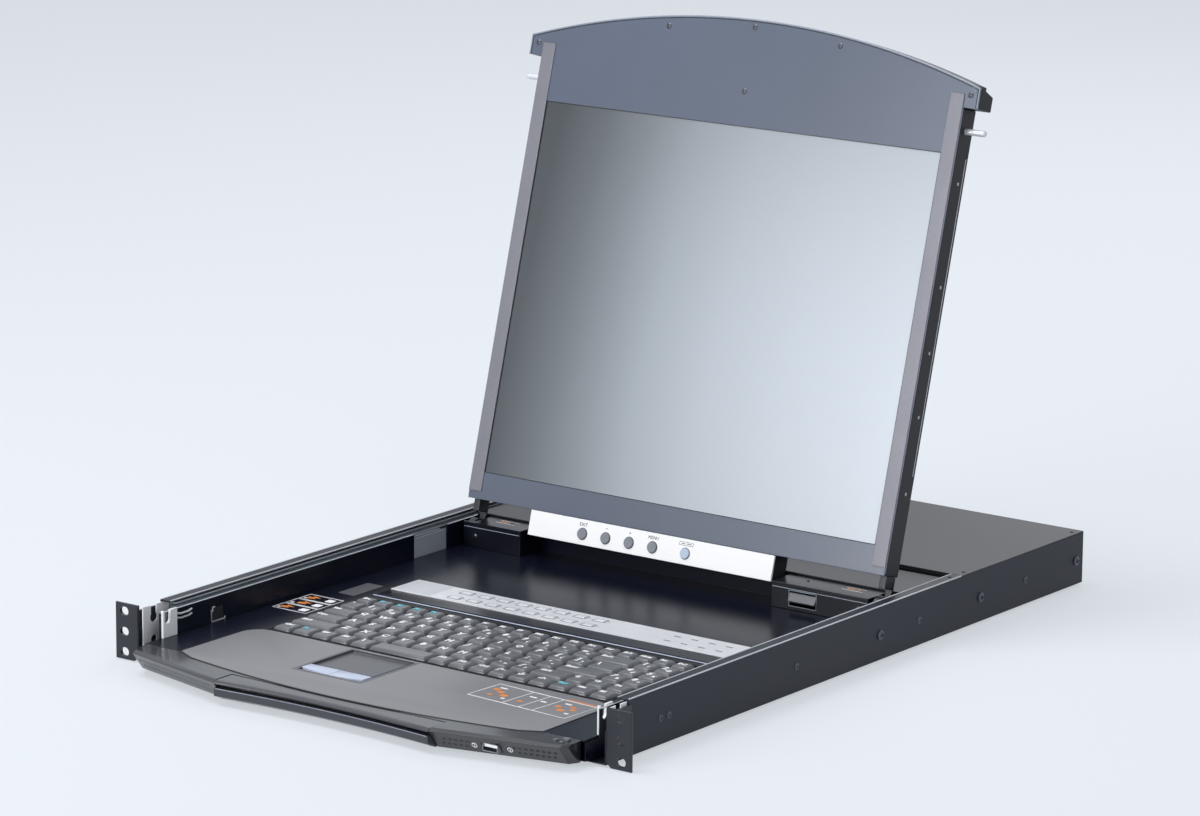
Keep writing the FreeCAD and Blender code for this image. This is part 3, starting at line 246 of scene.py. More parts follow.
finishes = {
    "blackSteel": finish("black steel", "coat", (24, 26, 36), (30, 32, 42), (0.34, 0.44),
                         bump=0.06, grainScale=1400.0),
    "bodySteel": finish("charcoal body paint", "coat", (20, 24, 36), (27, 31, 43), (0.36, 0.46),
                        bump=0.05, specular=0.3, grainScale=1400.0),
    "coverSteel": finish("cover paint", "coat", (42, 42, 46), (50, 50, 54), (0.36, 0.46),
                         bump=0.06, specular=0.42, grainScale=1400.0),
    "traySteel": finish("tray paint", "coat", (11, 14, 28), (15, 18, 33), (0.20, 0.30),
                        bump=0.03, specular=0.22, grainScale=1400.0),
    "railSteel": finish("plated rail", "brushed", (196, 204, 212), (166, 174, 182), (0.28, 0.42),
                        metallic=0.3, stretch=(1500.0, 12.0, 1500.0)),
    "zinc": finish("bright zinc", "brushed", (226, 228, 232), (190, 193, 200), (0.34, 0.5),
                   metallic=0.3, stretch=(900.0, 900.0, 40.0)),
    # a lighter copy of the zinc finish for the slide brackets: painted light
    "litBracketZinc": finish("bracket zinc painted lighter", "brushed", (252, 252, 253), (226, 228, 232), (0.34, 0.5),
                          metallic=0.05, stretch=(900.0, 900.0, 40.0)),
    "supplySteel": finish("supply case", "brushed", (170, 172, 176), (140, 142, 148), (0.3, 0.42),
                          metallic=1.0),
    "board": finish("circuit board", "coat", (24, 78, 48), (18, 62, 38), (0.3, 0.4)),
    "portMetal": finish("nickel shell", "brushed", (200, 201, 205), (170, 171, 176), (0.2, 0.3),
                        metallic=1.0, stretch=(800.0, 40.0, 800.0)),
    "blackPlastic": finish("black plastic", "coat", (20, 21, 27), (26, 27, 33), (0.42, 0.52),
                           bump=0.12, specular=0.3, grainScale=1800.0),
    "bezelPlastic": finish("front bezel plastic", "coat", (24, 25, 32), (30, 31, 38), (0.28, 0.36),
                           bump=0.10, coat=0.6, grainScale=1800.0),
    "palmPlastic": finish("palm rest plastic", "coat", (122, 122, 126), (130, 130, 133), (0.36, 0.46),
                          bump=0.12, grainScale=1800.0),
    "padPlastic": finish("touch pad", "coat", (80, 81, 86), (88, 89, 94), (0.32, 0.4),
                         bump=0.1, grainScale=1800.0),
    "padButton": finish("pad button", "coat", (186, 197, 220), (196, 206, 226), (0.24, 0.32), bump=0.05),
    "keyPlastic": finish("key plastic", "coat", (88, 89, 94), (98, 99, 104), (0.28, 0.38),
                         bump=0.12, coat=0.3, grainScale=1800.0),
    "keyWell": finish("key well plastic", "coat", (8, 9, 13), (11, 12, 16), (0.4, 0.5),
                      bump=0.1, specular=0.2),
    "stripSilver": finish("brushed strip", "brushed", (240, 240, 243), (210, 211, 216), (0.28, 0.42),
                          metallic=0.15, stretch=(14.0, 1400.0, 1400.0)),
    "greyButton": finish("grey button", "coat", (120, 124, 134), (132, 136, 146), (0.25, 0.32)),
    "whiteNylon": finish("white nylon", "coat", (246, 247, 248), (238, 240, 242), (0.4, 0.5), bump=0.05),
    "hingePlastic": finish("hinge cover", "coat", (10, 12, 24), (14, 16, 28), (0.24, 0.32),
                           bump=0.05, specular=0.4),
    "displayPaint": finish("display frame paint", "coat", (70, 80, 99), (80, 90, 109), (0.26, 0.34),
                           bump=0.05, coat=0.4, grainScale=1400.0),
    "sideStrip": finish("side strip", "brushed", (122, 122, 130), (108, 108, 116), (0.33, 0.43),
                        metallic=0.2, stretch=(1200.0, 1200.0, 20.0)),
    "fascia": finish("silver fascia", "coat", (253, 253, 254), (249, 249, 250), (0.3, 0.38), bump=0.03),
    "powerBlue": finish("power button", "coat", (178, 194, 216), (190, 204, 222), (0.22, 0.3)),
    "screwMetal": finish("screw metal", "brushed", (190, 191, 196), (150, 151, 158), (0.2, 0.32),
                         metallic=1.0, stretch=(700.0, 700.0, 700.0)),
    "darkScrew": finish("dark screw", "brushed", (96, 98, 106), (72, 74, 82), (0.26, 0.36),
                        metallic=0.8, stretch=(700.0, 700.0, 700.0)),
    "handlePlastic": finish("handle plastic", "coat", (40, 40, 48), (50, 50, 58), (0.24, 0.32),
                            bump=0.10, coat=0.5, grainScale=1800.0),
    "paddle": finish("latch paddle", "coat", (96, 98, 104), (106, 108, 114), (0.3, 0.4), bump=0.1),
    "legendWhite": finish("white legend", "coat", (250, 250, 252), (242, 243, 246), (0.5, 0.6)),
    "legendCyan": finish("cyan legend", "coat", (110, 214, 232), (98, 200, 220), (0.5, 0.6)),
    "legendDark": finish("dark legend", "coat", (48, 51, 60), (58, 61, 70), (0.5, 0.6)),
    "markOrange": finish("orange mark", "coat", (226, 140, 62), (216, 126, 52), (0.45, 0.55)),
    # pale beads laid along edges in this finish are painted highlights
    "paintedHighlight": finish("painted edge highlight", "coat", (150, 158, 172), (136, 144, 158), (0.3, 0.38)),
    # pale label colour, also used for beads that are painted highlights along edges and seams
    "paleLabelAndHighlight": finish("pale label and painted highlight", "coat", (206, 208, 212), (196, 198, 204), (0.4, 0.5)),
    # dark socket inserts; the same finish makes the dark beads and discs that are painted shade in gaps, grooves
    # and holes
    "darkInsertAndShade": finish("dark insert and painted shade", "coat", (16, 17, 20), (20, 21, 24), (0.5, 0.6)),
    "gold": finish("contact gold", "brushed", (222, 190, 110), (198, 164, 88), (0.25, 0.35), metallic=1.0),
}

# stops of the painted reflection: how pale the glass is painted from left to right
glassReflectionTones = ((0.12, (97, 104, 110)), (0.24, (129, 137, 143)), (0.36, (158, 166, 173)),
              (0.52, (178, 186, 193)), (0.72, (191, 199, 206)))


def buildGlassFinish():
    # unlit panel behind an anti-glare face, painted with a reflection of the studio light: dark at the left, paler
    # to the right, and with painted shade darker towards the top
    material, tree, shader = newMaterial("panel glass")
    coordinates = objectPlace(tree)
    axes = tree.nodes.new("ShaderNodeSeparateXYZ")
    tree.links.new(coordinates, axes.inputs[0])
    low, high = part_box("lcd_glass")
    fromLeft = mathNode(tree, "SUBTRACT", axes.outputs["X"], low.x)
    acrossFactor = mathNode(tree, "DIVIDE", fromLeft, high.x - low.x)
    upFactor = mathNode(tree, "DIVIDE", mathNode(tree, "SUBTRACT", axes.outputs["Z"], low.z), high.z - low.z)
    blend = mathNode(tree, "ADD", acrossFactor, mathNode(tree, "MULTIPLY", upFactor, -0.05))
    wave = noiseNode(tree, coordinates, 3.0, 2.0)
    ripple = mathNode(tree, "MULTIPLY", mathNode(tree, "SUBTRACT", wave, 0.5), 0.06)
    blend = mathNode(tree, "ADD", blend, ripple)
    ramp = tree.nodes.new("ShaderNodeValToRGB")
    tree.links.new(blend, ramp.inputs["Fac"])
    stops = ramp.color_ramp.elements
    stops[0].position, stops[0].color = 0.0, srgb(66, 72, 78)
    stops[1].position, stops[1].color = 1.0, srgb(201, 209, 216)
    for place, tone in glassReflectionTones:
        stops.new(place).color = srgb(*tone)
    # painted shade: the glass is darkened towards its top
    shade = mathNode(tree, "MULTIPLY", mathNode(tree, "MULTIPLY", upFactor, upFactor), 0.3)
    tone = mixColor(tree, shade, ramp.outputs["Color"], srgb(10, 12, 14))
    tree.links.new(tone, shader["Base Color"])
    addRelief(tree, shader, noiseNode(tree, coordinates, 4200.0, 1.0), 0.03, 0.0001)
    tree.links.new(rangeNode(tree, wave, 0.26, 0.34), shader["Roughness"])
    return material


finishes["glass"] = buildGlassFinish()

finishedNodes = {
    "bodySteel": "chassis_pan rear_panel",
    "coverSteel": "rear_cover deck_cover",
    "blackSteel": "rack_ear_left rack_ear_right hinge_arm_left hinge_arm_right",
    "litBracketZinc": "slide_brackets",
    "railSteel": "outer_rail_left outer_rail_right middle_rail_left middle_rail_right inner_rail_left "
                 "inner_rail_right",
    "supplySteel": "power_supply lcd_panel",
    "board": "main_board control_board",
    "portMetal": "port_connectors usb_port",
    "blackPlastic": "power_inlet power_switch lcd_back_cover arch_handle osd_housing",
    "darkScrew": "chassis_screws",
    "zinc": "ball_cages hinge_barrels lock_pin_left lock_pin_right",
    "traySteel": "tray_pan tray_deck",
    "bezelPlastic": "front_bezel",
    "handlePlastic": "handle",
    "palmPlastic": "palm_rest",
    "padPlastic": "touchpad",
    "padButton": "pad_button_left pad_button_right",
    "keyWell": "keyboard_base",
    "keyPlastic": "main_keys cursor_keys function_keys",
    "stripSilver": "port_panel select_buttons",
    "whiteNylon": "lock_catches",
    "hingePlastic": "hinge_block_left hinge_block_right",
    "paddle": "release_latch",
    "displayPaint": "lcd_frame",
    "glass": "lcd_glass",
    "sideStrip": "side_strips",
    "fascia": "osd_bar",
    "greyButton": "osd_button_1 osd_button_2 osd_button_3 osd_button_4",
    "powerBlue": "power_button",
    "screwMetal": "lcd_screws",
}
nodeFinish = {node: key for key, members in finishedNodes.items() for node in members.split()}
bodyOf = {}
slotOf = {}
for body, members in frame["record"]["behaviour"]["bodies"].items():
    for member in members:
        bodyOf[member] = body
for part in frame["record"]["subparts"]:
    slotOf[part["node"]] = part["material_slot"]
for name, thing in nodes.items():
    thing.data.materials.clear()
    thing.data.materials.append(finishes[nodeFinish[name]])

print("finishes ready:", len(finishes))


def addPiece(name, mesh, material, body, replaced=()):
    thing = bpy.data.objects.new(name, mesh)
    bpy.context.scene.collection.objects.link(thing)
    mesh.materials.clear()
    mesh.materials.append(finishes[material])
    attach(thing, body)
    if replaced:
        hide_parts(*replaced)
    return thing


def meshOf(name, shape, smoothAngle=35, weighted=False):
    mesh = bpy.data.meshes.new(name)
    shape.normal_update()
    shape.to_mesh(mesh)
    shape.free()
    mesh.shade_smooth()
    mesh.set_sharp_from_angle(angle=radians(smoothAngle))
    return evaluated(mesh, evenShading) if weighted else mesh


def evaluated(data, prepare=None):
    # the plain mesh that a curve, lettering or a mesh with a modifier gives
    holder = bpy.data.objects.new("holder", data)
    bpy.context.scene.collection.objects.link(holder)
    if prepare:
        prepare(holder)
    bpy.context.view_layer.update()
    result = bpy.data.meshes.new_from_object(holder.evaluated_get(bpy.context.evaluated_depsgraph_get()))
    bpy.data.objects.remove(holder)
    return result


def evenShading(holder):
    modifier = holder.modifiers.new("shading", "WEIGHTED_NORMAL")
    modifier.keep_sharp = True
    modifier.weight = 80


def softened(node, width, minLength=5.0, angle=40, steps=2):
    # a copy of a plain solid with its long sharp edges rounded over
    shape = bmesh.new()
    shape.from_mesh(nodes[node].data)
    bmesh.ops.remove_doubles(shape, verts=shape.verts, dist=2e-6)
    bmesh.ops.dissolve_limit(shape, angle_limit=radians(0.6), verts=shape.verts, edges=shape.edges)
    edges = [edge for edge in shape.edges if len(edge.link_faces) == 2
             and edge.calc_face_angle(0) > radians(angle) and edge.calc_length() > minLength * mm]
    bmesh.ops.bevel(shape, geom=edges, offset=width * mm, segments=steps, profile=0.6,
                    affect="EDGES", clamp_overlap=False)
    return meshOf(node + "Softened", shape, weighted=True)


def slabFrom(outline, low, high, bevel=0.0):
    # closed slab from a plan outline of (x, y) in millimetres, edges on top rounded
    shape = bmesh.new()
    bottom = [shape.verts.new((x * mm, y * mm, low)) for x, y in outline]
    face = shape.faces.new(bottom)
    raised = bmesh.ops.extrude_face_region(shape, geom=[face])
    verts = [item for item in raised["geom"] if isinstance(item, bmesh.types.BMVert)]
    bmesh.ops.translate(shape, verts=verts, vec=(0, 0, high - low))
    bmesh.ops.recalc_face_normals(shape, faces=shape.faces)
    if bevel:
        rim = [edge for edge in shape.edges if all(abs(v.co.z - high) < 1e-7 for v in edge.verts)]
        bmesh.ops.bevel(shape, geom=rim, offset=bevel * mm, segments=2, profile=0.6, affect="EDGES")
    return shape


def roundedRect(x, y, radius, steps=5):
    points = []
    for centerX, centerY, start in ((x[1] - radius, y[0] + radius, -90), (x[1] - radius, y[1] - radius, 0),
                                    (x[0] + radius, y[1] - radius, 90), (x[0] + radius, y[0] + radius, 180)):
        for step in range(steps + 1):
            turn = radians(start + 90 * step / steps)
            points.append((centerX + radius * cos(turn), centerY + radius * sin(turn)))
    return points


view = {"azimuth": 36.506, "elevation": 12.9, "roll": 0.487, "place": (2.24157, -2.742506, 1.017834),
        "lens": 151.604}


def setCamera():
    azimuth, elevation, roll = (radians(view[key]) for key in ("azimuth", "elevation", "roll"))
    back = Vector((sin(azimuth) * cos(elevation), -cos(azimuth) * cos(elevation), sin(elevation)))
    right = Vector((cos(azimuth), sin(azimuth), 0))
    up = back.cross(right)
    turnedRight = right * cos(roll) + up * sin(roll)
    turnedUp = up * cos(roll) - right * sin(roll)
    camera = bpy.data.cameras.new("camera")
    camera.lens = view["lens"]
    camera.sensor_width = 36.0
    camera.clip_end = 50.0
    thing = bpy.data.objects.new("camera", camera)
    bpy.context.scene.collection.objects.link(thing)
    axes = Matrix((turnedRight, turnedUp, back)).transposed().to_4x4()
    thing.matrix_world = Matrix.Translation(Vector(view["place"])) @ axes
    bpy.context.scene.camera = thing


studio = {"backdrop": (231, 236, 242), "sky": (236, 239, 245), "floorGlow": 0.62, "worldStrength": 0.6,
          "floorReach": 30.0, "floorDrop": 0.6}
lamps = {
    "frontLeft": {"place": (-1.05, -2.55, 0.95), "size": 1.0, "power": 36.0},
    "overhead": {"place": (-0.9, -0.5, 2.6), "size": 1.2, "power": 34.0},
    "rightFill": {"place": (2.6, -0.6, 1.6), "size": 1.8, "power": 5.0},
    "backStrip": {"place": (-0.4, 2.6, 1.9), "size": 1.6, "power": 18.0},
}


def splitLight(tree, strength, first, second, output):
    # the second shader is what the eye and reflections see, the first one lights everything else
    path = tree.nodes.new("ShaderNodeLightPath")
    seen = mathNode(tree, "MAXIMUM", path.outputs["Is Camera Ray"], path.outputs["Is Glossy Ray"])
    mix = tree.nodes.new("ShaderNodeMixShader")
    for index, value in enumerate((mathNode(tree, "MULTIPLY", seen, strength), first, second)):
        tree.links.new(value, mix.inputs[index])
    tree.links.new(mix.outputs[0], tree.nodes[output].inputs["Surface"])


def paleSurface(name, colour):
    # plain to the eye and to reflections, and it still takes shadows
    material, tree, shader = newMaterial(name)
    shader["Base Color"].default_value = srgb(*colour)
    shader["Roughness"].default_value = 0.9
    shader["Specular IOR Level"].default_value = 0.0
    glow = tree.nodes.new("ShaderNodeEmission")
    glow.inputs["Color"].default_value = srgb(*colour)
    lit = tree.nodes["Principled BSDF"].outputs[0]
    splitLight(tree, studio["floorGlow"], lit, glow.outputs[0], "Material Output")
    return material


def setWorld():
    world = bpy.data.worlds.new("studio")
    world.use_nodes = True
    bpy.context.scene.world = world
    tree = world.node_tree
    background = tree.nodes["Background"]
    background.inputs["Color"].default_value = srgb(*studio["sky"])
    background.inputs["Strength"].default_value = studio["worldStrength"]
    plain = tree.nodes.new("ShaderNodeBackground")
    plain.inputs["Color"].default_value = srgb(*studio["backdrop"])
    splitLight(tree, 1.0, background.outputs[0], plain.outputs[0], "World Output")


def setStudio():
    scene = bpy.context.scene
    scene.view_settings.view_transform = "Standard"
    setWorld()
    center = (cadLow + cadHigh) / 2
    for name, lamp in lamps.items():
        light = bpy.data.lights.new(name, "AREA")
        light.shape = "SQUARE"
        light.size = lamp["size"]
        light.energy = lamp["power"]
        thing = bpy.data.objects.new(name, light)
        scene.collection.objects.link(thing)
        thing.location = lamp["place"]
        thing.rotation_euler = (center - Vector(lamp["place"])).to_track_quat("-Z", "Y").to_euler()
    mesh = bpy.data.meshes.new("floor")
    reach, level = studio["floorReach"], cadLow.z - studio["floorDrop"] * mm
    corners = [(-reach, -reach), (reach, -reach), (reach, reach), (-reach, reach)]
    mesh.from_pydata([(x, y, level) for x, y in corners], [], [(0, 1, 2, 3)])
    mesh.materials.append(paleSurface("pale floor", studio["backdrop"]))
    floor = bpy.data.objects.new("floor", mesh)
    scene.collection.objects.link(floor)


setCamera()
setStudio()
print("camera and studio set")

softEdges = {
    "chassis_pan": 0.45, "rear_cover": 0.4, "rack_ear_left": 0.5, "rack_ear_right": 0.5, "tray_pan": 0.4,
    "tray_deck": 0.4, "deck_cover": 0.5, "lcd_frame": 0.4, "lcd_back_cover": 0.9, "arch_handle": 1.0,
    "side_strips": 0.3, "osd_bar": 0.3, "osd_housing": 0.8, "hinge_block_left": 0.5, "hinge_block_right": 0.5,
    "front_bezel": 0.45, "handle": 0.55, "touchpad": 0.35, "keyboard_base": 0.3, "port_panel": 0.2,
    "lock_catches": 0.4, "release_latch": 0.4, "slide_brackets": 0.3,
    "hinge_arm_left": 0.6, "hinge_arm_right": 0.6,
    "select_buttons": 0.25, "power_inlet": 0.3, "power_switch": 0.4, "rear_panel": 0.2,
}
for node, width in softEdges.items():
    minimum = 2.0 if node in ("select_buttons", "touchpad") else 4.5
    mesh = softened(node, width, minimum)
    addPiece(node + "Rounded", mesh, nodeFinish[node], bodyOf[node], (node,))
print("edges rounded:", len(softEdges))


def islands(node):
    # boxes of the separate solids inside one node
    shape = bmesh.new()
    shape.from_mesh(nodes[node].data)
    bmesh.ops.remove_doubles(shape, verts=shape.verts, dist=2e-6)
    boxes, seen = [], set()
    for start in shape.verts:
        if start in seen:
            continue
        seen.add(start)
        stack, low, high = [start], start.co.copy(), start.co.copy()
        while stack:
            vert = stack.pop()
            for axis in range(3):
                low[axis] = min(low[axis], vert.co[axis])
                high[axis] = max(high[axis], vert.co[axis])
            for edge in vert.link_edges:
                other = edge.other_vert(vert)
                if other not in seen:
                    seen.add(other)
                    stack.append(other)
        boxes.append((low, high))
    shape.free()
    return boxes


def newTree(name, inputs):
    tree = bpy.data.node_groups.new(name, "GeometryNodeTree")
    for side in ("INPUT", "OUTPUT"):
        tree.interface.new_socket(name="Geometry", in_out=side, socket_type="NodeSocketGeometry")
    addInputs(tree, dict(inputs, Material=None))
    return tree, tree.nodes.new("NodeGroupInput"), tree.nodes.new("NodeGroupOutput")


def endTree(tree, start, end, geometry, smooth=True):
    realize = tree.nodes.new("GeometryNodeRealizeInstances")
    shade = tree.nodes.new("GeometryNodeSetShadeSmooth")
    shade.inputs["Shade Smooth"].default_value = smooth
    paint = tree.nodes.new("GeometryNodeSetMaterial")
    tree.links.new(geometry, realize.inputs[0])
    tree.links.new(realize.outputs[0], shade.inputs[0])
    tree.links.new(shade.outputs[0], paint.inputs[0])
    tree.links.new(start.outputs["Material"], paint.inputs["Material"])
    tree.links.new(paint.outputs[0], end.inputs[0])


def combine(tree, x, y, z):
    node = tree.nodes.new("ShaderNodeCombineXYZ")
    for socket, value in zip(node.inputs, (x, y, z)):
        feed(tree, socket, value)
    return node.outputs[0]


def moved(tree, geometry, offset):
    node = tree.nodes.new("GeometryNodeTransform")
    tree.links.new(geometry, node.inputs[0])
    tree.links.new(offset, node.inputs["Translation"])
    return node.outputs[0]


def standOnPoints(tree, start, part):
    outward = tree.nodes.new("GeometryNodeInputNamedAttribute")
    outward.data_type = "FLOAT_VECTOR"
    outward.inputs["Name"].default_value = "outward"
    turn = tree.nodes.new("FunctionNodeAlignRotationToVector")
    turn.axis = "Z"
    tree.links.new(outward.outputs["Attribute"], turn.inputs["Vector"])
    spread = tree.nodes.new("GeometryNodeInstanceOnPoints")
    tree.links.new(start.outputs["Geometry"], spread.inputs["Points"])
    tree.links.new(part, spread.inputs["Instance"])
    tree.links.new(turn.outputs[0], spread.inputs["Rotation"])
    return spread.outputs[0]


def buildScrewTree():
    # domed head with a cross recess
    tree, start, end = newTree("screwHeads", {
        "Head Radius": 0.0027, "Head Height": 0.0011,
        "Recess Length": 0.0032, "Recess Width": 0.0008, "Recess Depth": 0.0006})
    radius, height = start.outputs["Head Radius"], start.outputs["Head Height"]
    blank = tree.nodes.new("GeometryNodeMeshCylinder")
    blank.inputs["Vertices"].default_value = 28
    tree.links.new(radius, blank.inputs["Radius"])
    tree.links.new(mathNode(tree, "MULTIPLY", height, 2.0), blank.inputs["Depth"])
    dome = tree.nodes.new("GeometryNodeMeshUVSphere")
    dome.inputs["Segments"].default_value = 28
    dome.inputs["Rings"].default_value = 24
    domeRadius = mathNode(tree, "MULTIPLY", radius, 1.7)
    tree.links.new(domeRadius, dome.inputs["Radius"])
    drop = mathNode(tree, "SUBTRACT", height, domeRadius)
    lifted = moved(tree, dome.outputs["Mesh"], combine(tree, 0.0, 0.0, drop))
    head = tree.nodes.new("GeometryNodeMeshBoolean")
    head.operation = "INTERSECT"
    tree.links.new(blank.outputs["Mesh"], head.inputs["Mesh 2"])
    tree.links.new(lifted, head.inputs["Mesh 2"])
    cut = tree.nodes.new("GeometryNodeMeshBoolean")
    cut.operation = "DIFFERENCE"
    tree.links.new(head.outputs["Mesh"], cut.inputs["Mesh 1"])
    for flip in (False, True):
        bar = tree.nodes.new("GeometryNodeMeshCube")
        long, wide = start.outputs["Recess Length"], start.outputs["Recess Width"]
        deep = mathNode(tree, "MULTIPLY", start.outputs["Recess Depth"], 2.0)
        size = combine(tree, wide if flip else long, long if flip else wide, deep)
        tree.links.new(size, bar.inputs["Size"])
        raised = moved(tree, bar.outputs["Mesh"], combine(tree, 0.0, 0.0, height))
        tree.links.new(raised, cut.inputs["Mesh 2"])
    endTree(tree, start, end, standOnPoints(tree, start, cut.outputs["Mesh"]), smooth=False)
    return tree


def buildPostTree():
    # small cylinders: the contacts of the sockets and the dark discs of painted shade inside the perforations
    tree, start, end = newTree("postField", {"Post Radius": 0.0005, "Post Length": 0.004, "Post Sides": 8})
    post = tree.nodes.new("GeometryNodeMeshCylinder")
    tree.links.new(start.outputs["Post Radius"], post.inputs["Radius"])
    tree.links.new(start.outputs["Post Length"], post.inputs["Depth"])
    tree.links.new(start.outputs["Post Sides"], post.inputs["Vertices"])
    endTree(tree, start, end, standOnPoints(tree, start, post.outputs["Mesh"]), smooth=False)
    return tree


def buildBeadTree():
    # round bead that follows a path of edges
    tree, start, end = newTree("pathBead", {"Bead Radius": 0.0005, "Bead Sides": 8})
    path = tree.nodes.new("GeometryNodeMeshToCurve")
    ring = tree.nodes.new("GeometryNodeCurvePrimitiveCircle")
    sweep = tree.nodes.new("GeometryNodeCurveToMesh")
    sweep.inputs["Fill Caps"].default_value = True
    tree.links.new(start.outputs["Geometry"], path.inputs[0])
    tree.links.new(start.outputs["Bead Sides"], ring.inputs["Resolution"])
    tree.links.new(start.outputs["Bead Radius"], ring.inputs["Radius"])
    tree.links.new(path.outputs[0], sweep.inputs["Curve"])
    tree.links.new(ring.outputs["Curve"], sweep.inputs["Profile Curve"])
    endTree(tree, start, end, sweep.outputs["Mesh"])
    return tree


trees = {"screw": buildScrewTree(), "post": buildPostTree(), "bead": buildBeadTree()}


def grow(name, treeName, mesh, settings, material):
    # run one tree over a base mesh and keep the plain result
    values = dict(settings, Material=finishes[material])

    def addTree(holder):
        modifier = holder.modifiers.new("grow", "NODES")
        modifier.node_group = trees[treeName]
        for socket in trees[treeName].interface.items_tree:
            if socket.in_out == "INPUT" and socket.name in values:
                modifier[socket.identifier] = values[socket.name]

    result = evaluated(mesh, addTree)
    result.name = name
    return result


def growOnPoints(name, treeName, places, settings, material, body, replaced=()):
    mesh = bpy.data.meshes.new(name + "Points")
    mesh.from_pydata([tuple(place) for place, outward in places], [], [])
    facing = mesh.attributes.new("outward", "FLOAT_VECTOR", "POINT")
    for index, (place, outward) in enumerate(places):
        facing.data[index].vector = outward
    return addPiece(name, grow(name, treeName, mesh, settings, material), material, body, replaced)


def bead(name, paths, radius, material, body, closed=False, sides=8):
    # paths: lists of points in metres
    verts, edges = [], []
    for path in paths:
        first = len(verts)
        verts += [tuple(point) for point in path]
        edges += [(first + i, first + i + 1) for i in range(len(path) - 1)]
        if closed:
            edges.append((first + len(path) - 1, first))
    mesh = bpy.data.meshes.new(name + "Path")
    mesh.from_pydata(verts, edges, [])
    settings = {"Bead Radius": radius * mm, "Bead Sides": sides}
    grown = grow(name, "bead", mesh, settings, material)
    shape = bmesh.new()
    shape.from_mesh(grown)
    bmesh.ops.recalc_face_normals(shape, faces=shape.faces)
    shape.to_mesh(grown)
    shape.free()
    return addPiece(name, grown, material, body)


def deckPoints(points, z):
    return [Vector((x * mm, y * mm, z)) for x, y in points]


def plateMesh(name, loops, low, high, rim=0.0):
    # flat plate from plan loops in millimetres, first the outline and then its holes
    curve = bpy.data.curves.new(name, "CURVE")
    curve.dimensions = "2D"
    curve.fill_mode = "BOTH"
    curve.extrude = max((high - low) / 2 - rim * mm, 0.0)
    curve.bevel_depth = rim * mm
    curve.bevel_resolution = 1
    curve.offset = -rim * mm
    for loop in loops:
        spline = curve.splines.new("POLY")
        spline.points.add(len(loop) - 1)
        for point, (x, y) in zip(spline.points, loop):
            point.co = (x * mm, y * mm, 0, 1)
        spline.use_cyclic_u = True
    mesh = evaluated(curve)
    shape = bmesh.new()
    shape.from_mesh(mesh)
    bmesh.ops.remove_doubles(shape, verts=shape.verts, dist=1e-6)
    bmesh.ops.recalc_face_normals(shape, faces=shape.faces)
    bmesh.ops.translate(shape, verts=shape.verts, vec=(0, 0, (low + high) / 2))
    return meshOf(name, shape)


def textShape(text, size, place, weight=0.0):
    # flat lettering as a mesh, centred on a point
    curve = bpy.data.curves.new("letters", "FONT")
    curve.body = text
    curve.size = size * mm
    curve.align_x = "CENTER"
    curve.align_y = "CENTER"
    curve.resolution_u = 1
    curve.offset = weight * mm
    mesh = evaluated(curve)
    mesh.transform(place)
    return mesh


def joined(name, meshes):
    shape = bmesh.new()
    for mesh in meshes:
        shape.from_mesh(mesh)
    return meshOf(name, shape)


def flatAt(x, y, z):
    return Matrix.Translation((x * mm, y * mm, z))


def onFace(across, up, proud):
    # a frame lying on the display front, its own Z pointing at the viewer
    place = Matrix.Translation((across * mm, -proud * mm, up * mm))
    return onDisplay @ place @ Matrix.Rotation(radians(90), 4, "X")


def spot(x, y, z):
    return Vector((x * mm, y * mm, z * mm))


def plan(node):
    # reach of a node in millimetres: side to side, then front to back
    low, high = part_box(node)
    return (low.x / mm, high.x / mm), (low.y / mm, high.y / mm)


def patch(points, z, thick=0.12):
    return plateMesh("patch", [points], z, z + thick * mm)


screwSizes = {"recessShare": 1.15, "recessWidth": 0.26, "recessDepth": 0.5, "thinHead": 0.0008,
              "displayHead": 0.0007}
sideScrews = {"radius": 0.0014, "head": 0.0004, "heights": (304, 224, 173, 123.4, 64), "behind": 11.5}


def screwSettings(radius, height):
    return {"Head Radius": radius, "Head Height": height,
            "Recess Length": radius * screwSizes["recessShare"],
            "Recess Width": radius * screwSizes["recessWidth"],
            "Recess Depth": height * screwSizes["recessDepth"]}


def makeChassisScrews():
    groups = {}
    for low, high in islands("chassis_screws"):
        middle = (low + high) / 2
        wide, deep, tall = high - low
        if high.x > bodyHalf + 1e-5 or low.x < -bodyHalf - 1e-5:
            side = 1 if middle.x > 0 else -1
            radius, proud = deep / 2, (high.x if side > 0 else -low.x) - bodyHalf
            place, outward = Vector((side * bodyHalf, middle.y, middle.z)), Vector((side, 0, 0))
        elif low.y < cadLow.y + 0.1 and tall < deep + 1e-6 and high.y < 0.03:
            continue
        else:
            radius, proud = wide / 2, high.z - bodyTop
            if proud < 1e-5:
                proud = screwSizes["thinHead"]
            place, outward = Vector((middle.x, middle.y, high.z - proud)), Vector((0, 0, 1))
        groups.setdefault((round(radius, 5), round(proud, 5)), []).append((place, outward))
    for index, ((radius, proud), places) in enumerate(sorted(groups.items())):
        replaced = ("chassis_screws",) if index == 0 else ()
        growOnPoints("chassisScrews%d" % index, "screw", places, screwSettings(radius, proud), "darkScrew",
                     "chassis", replaced)


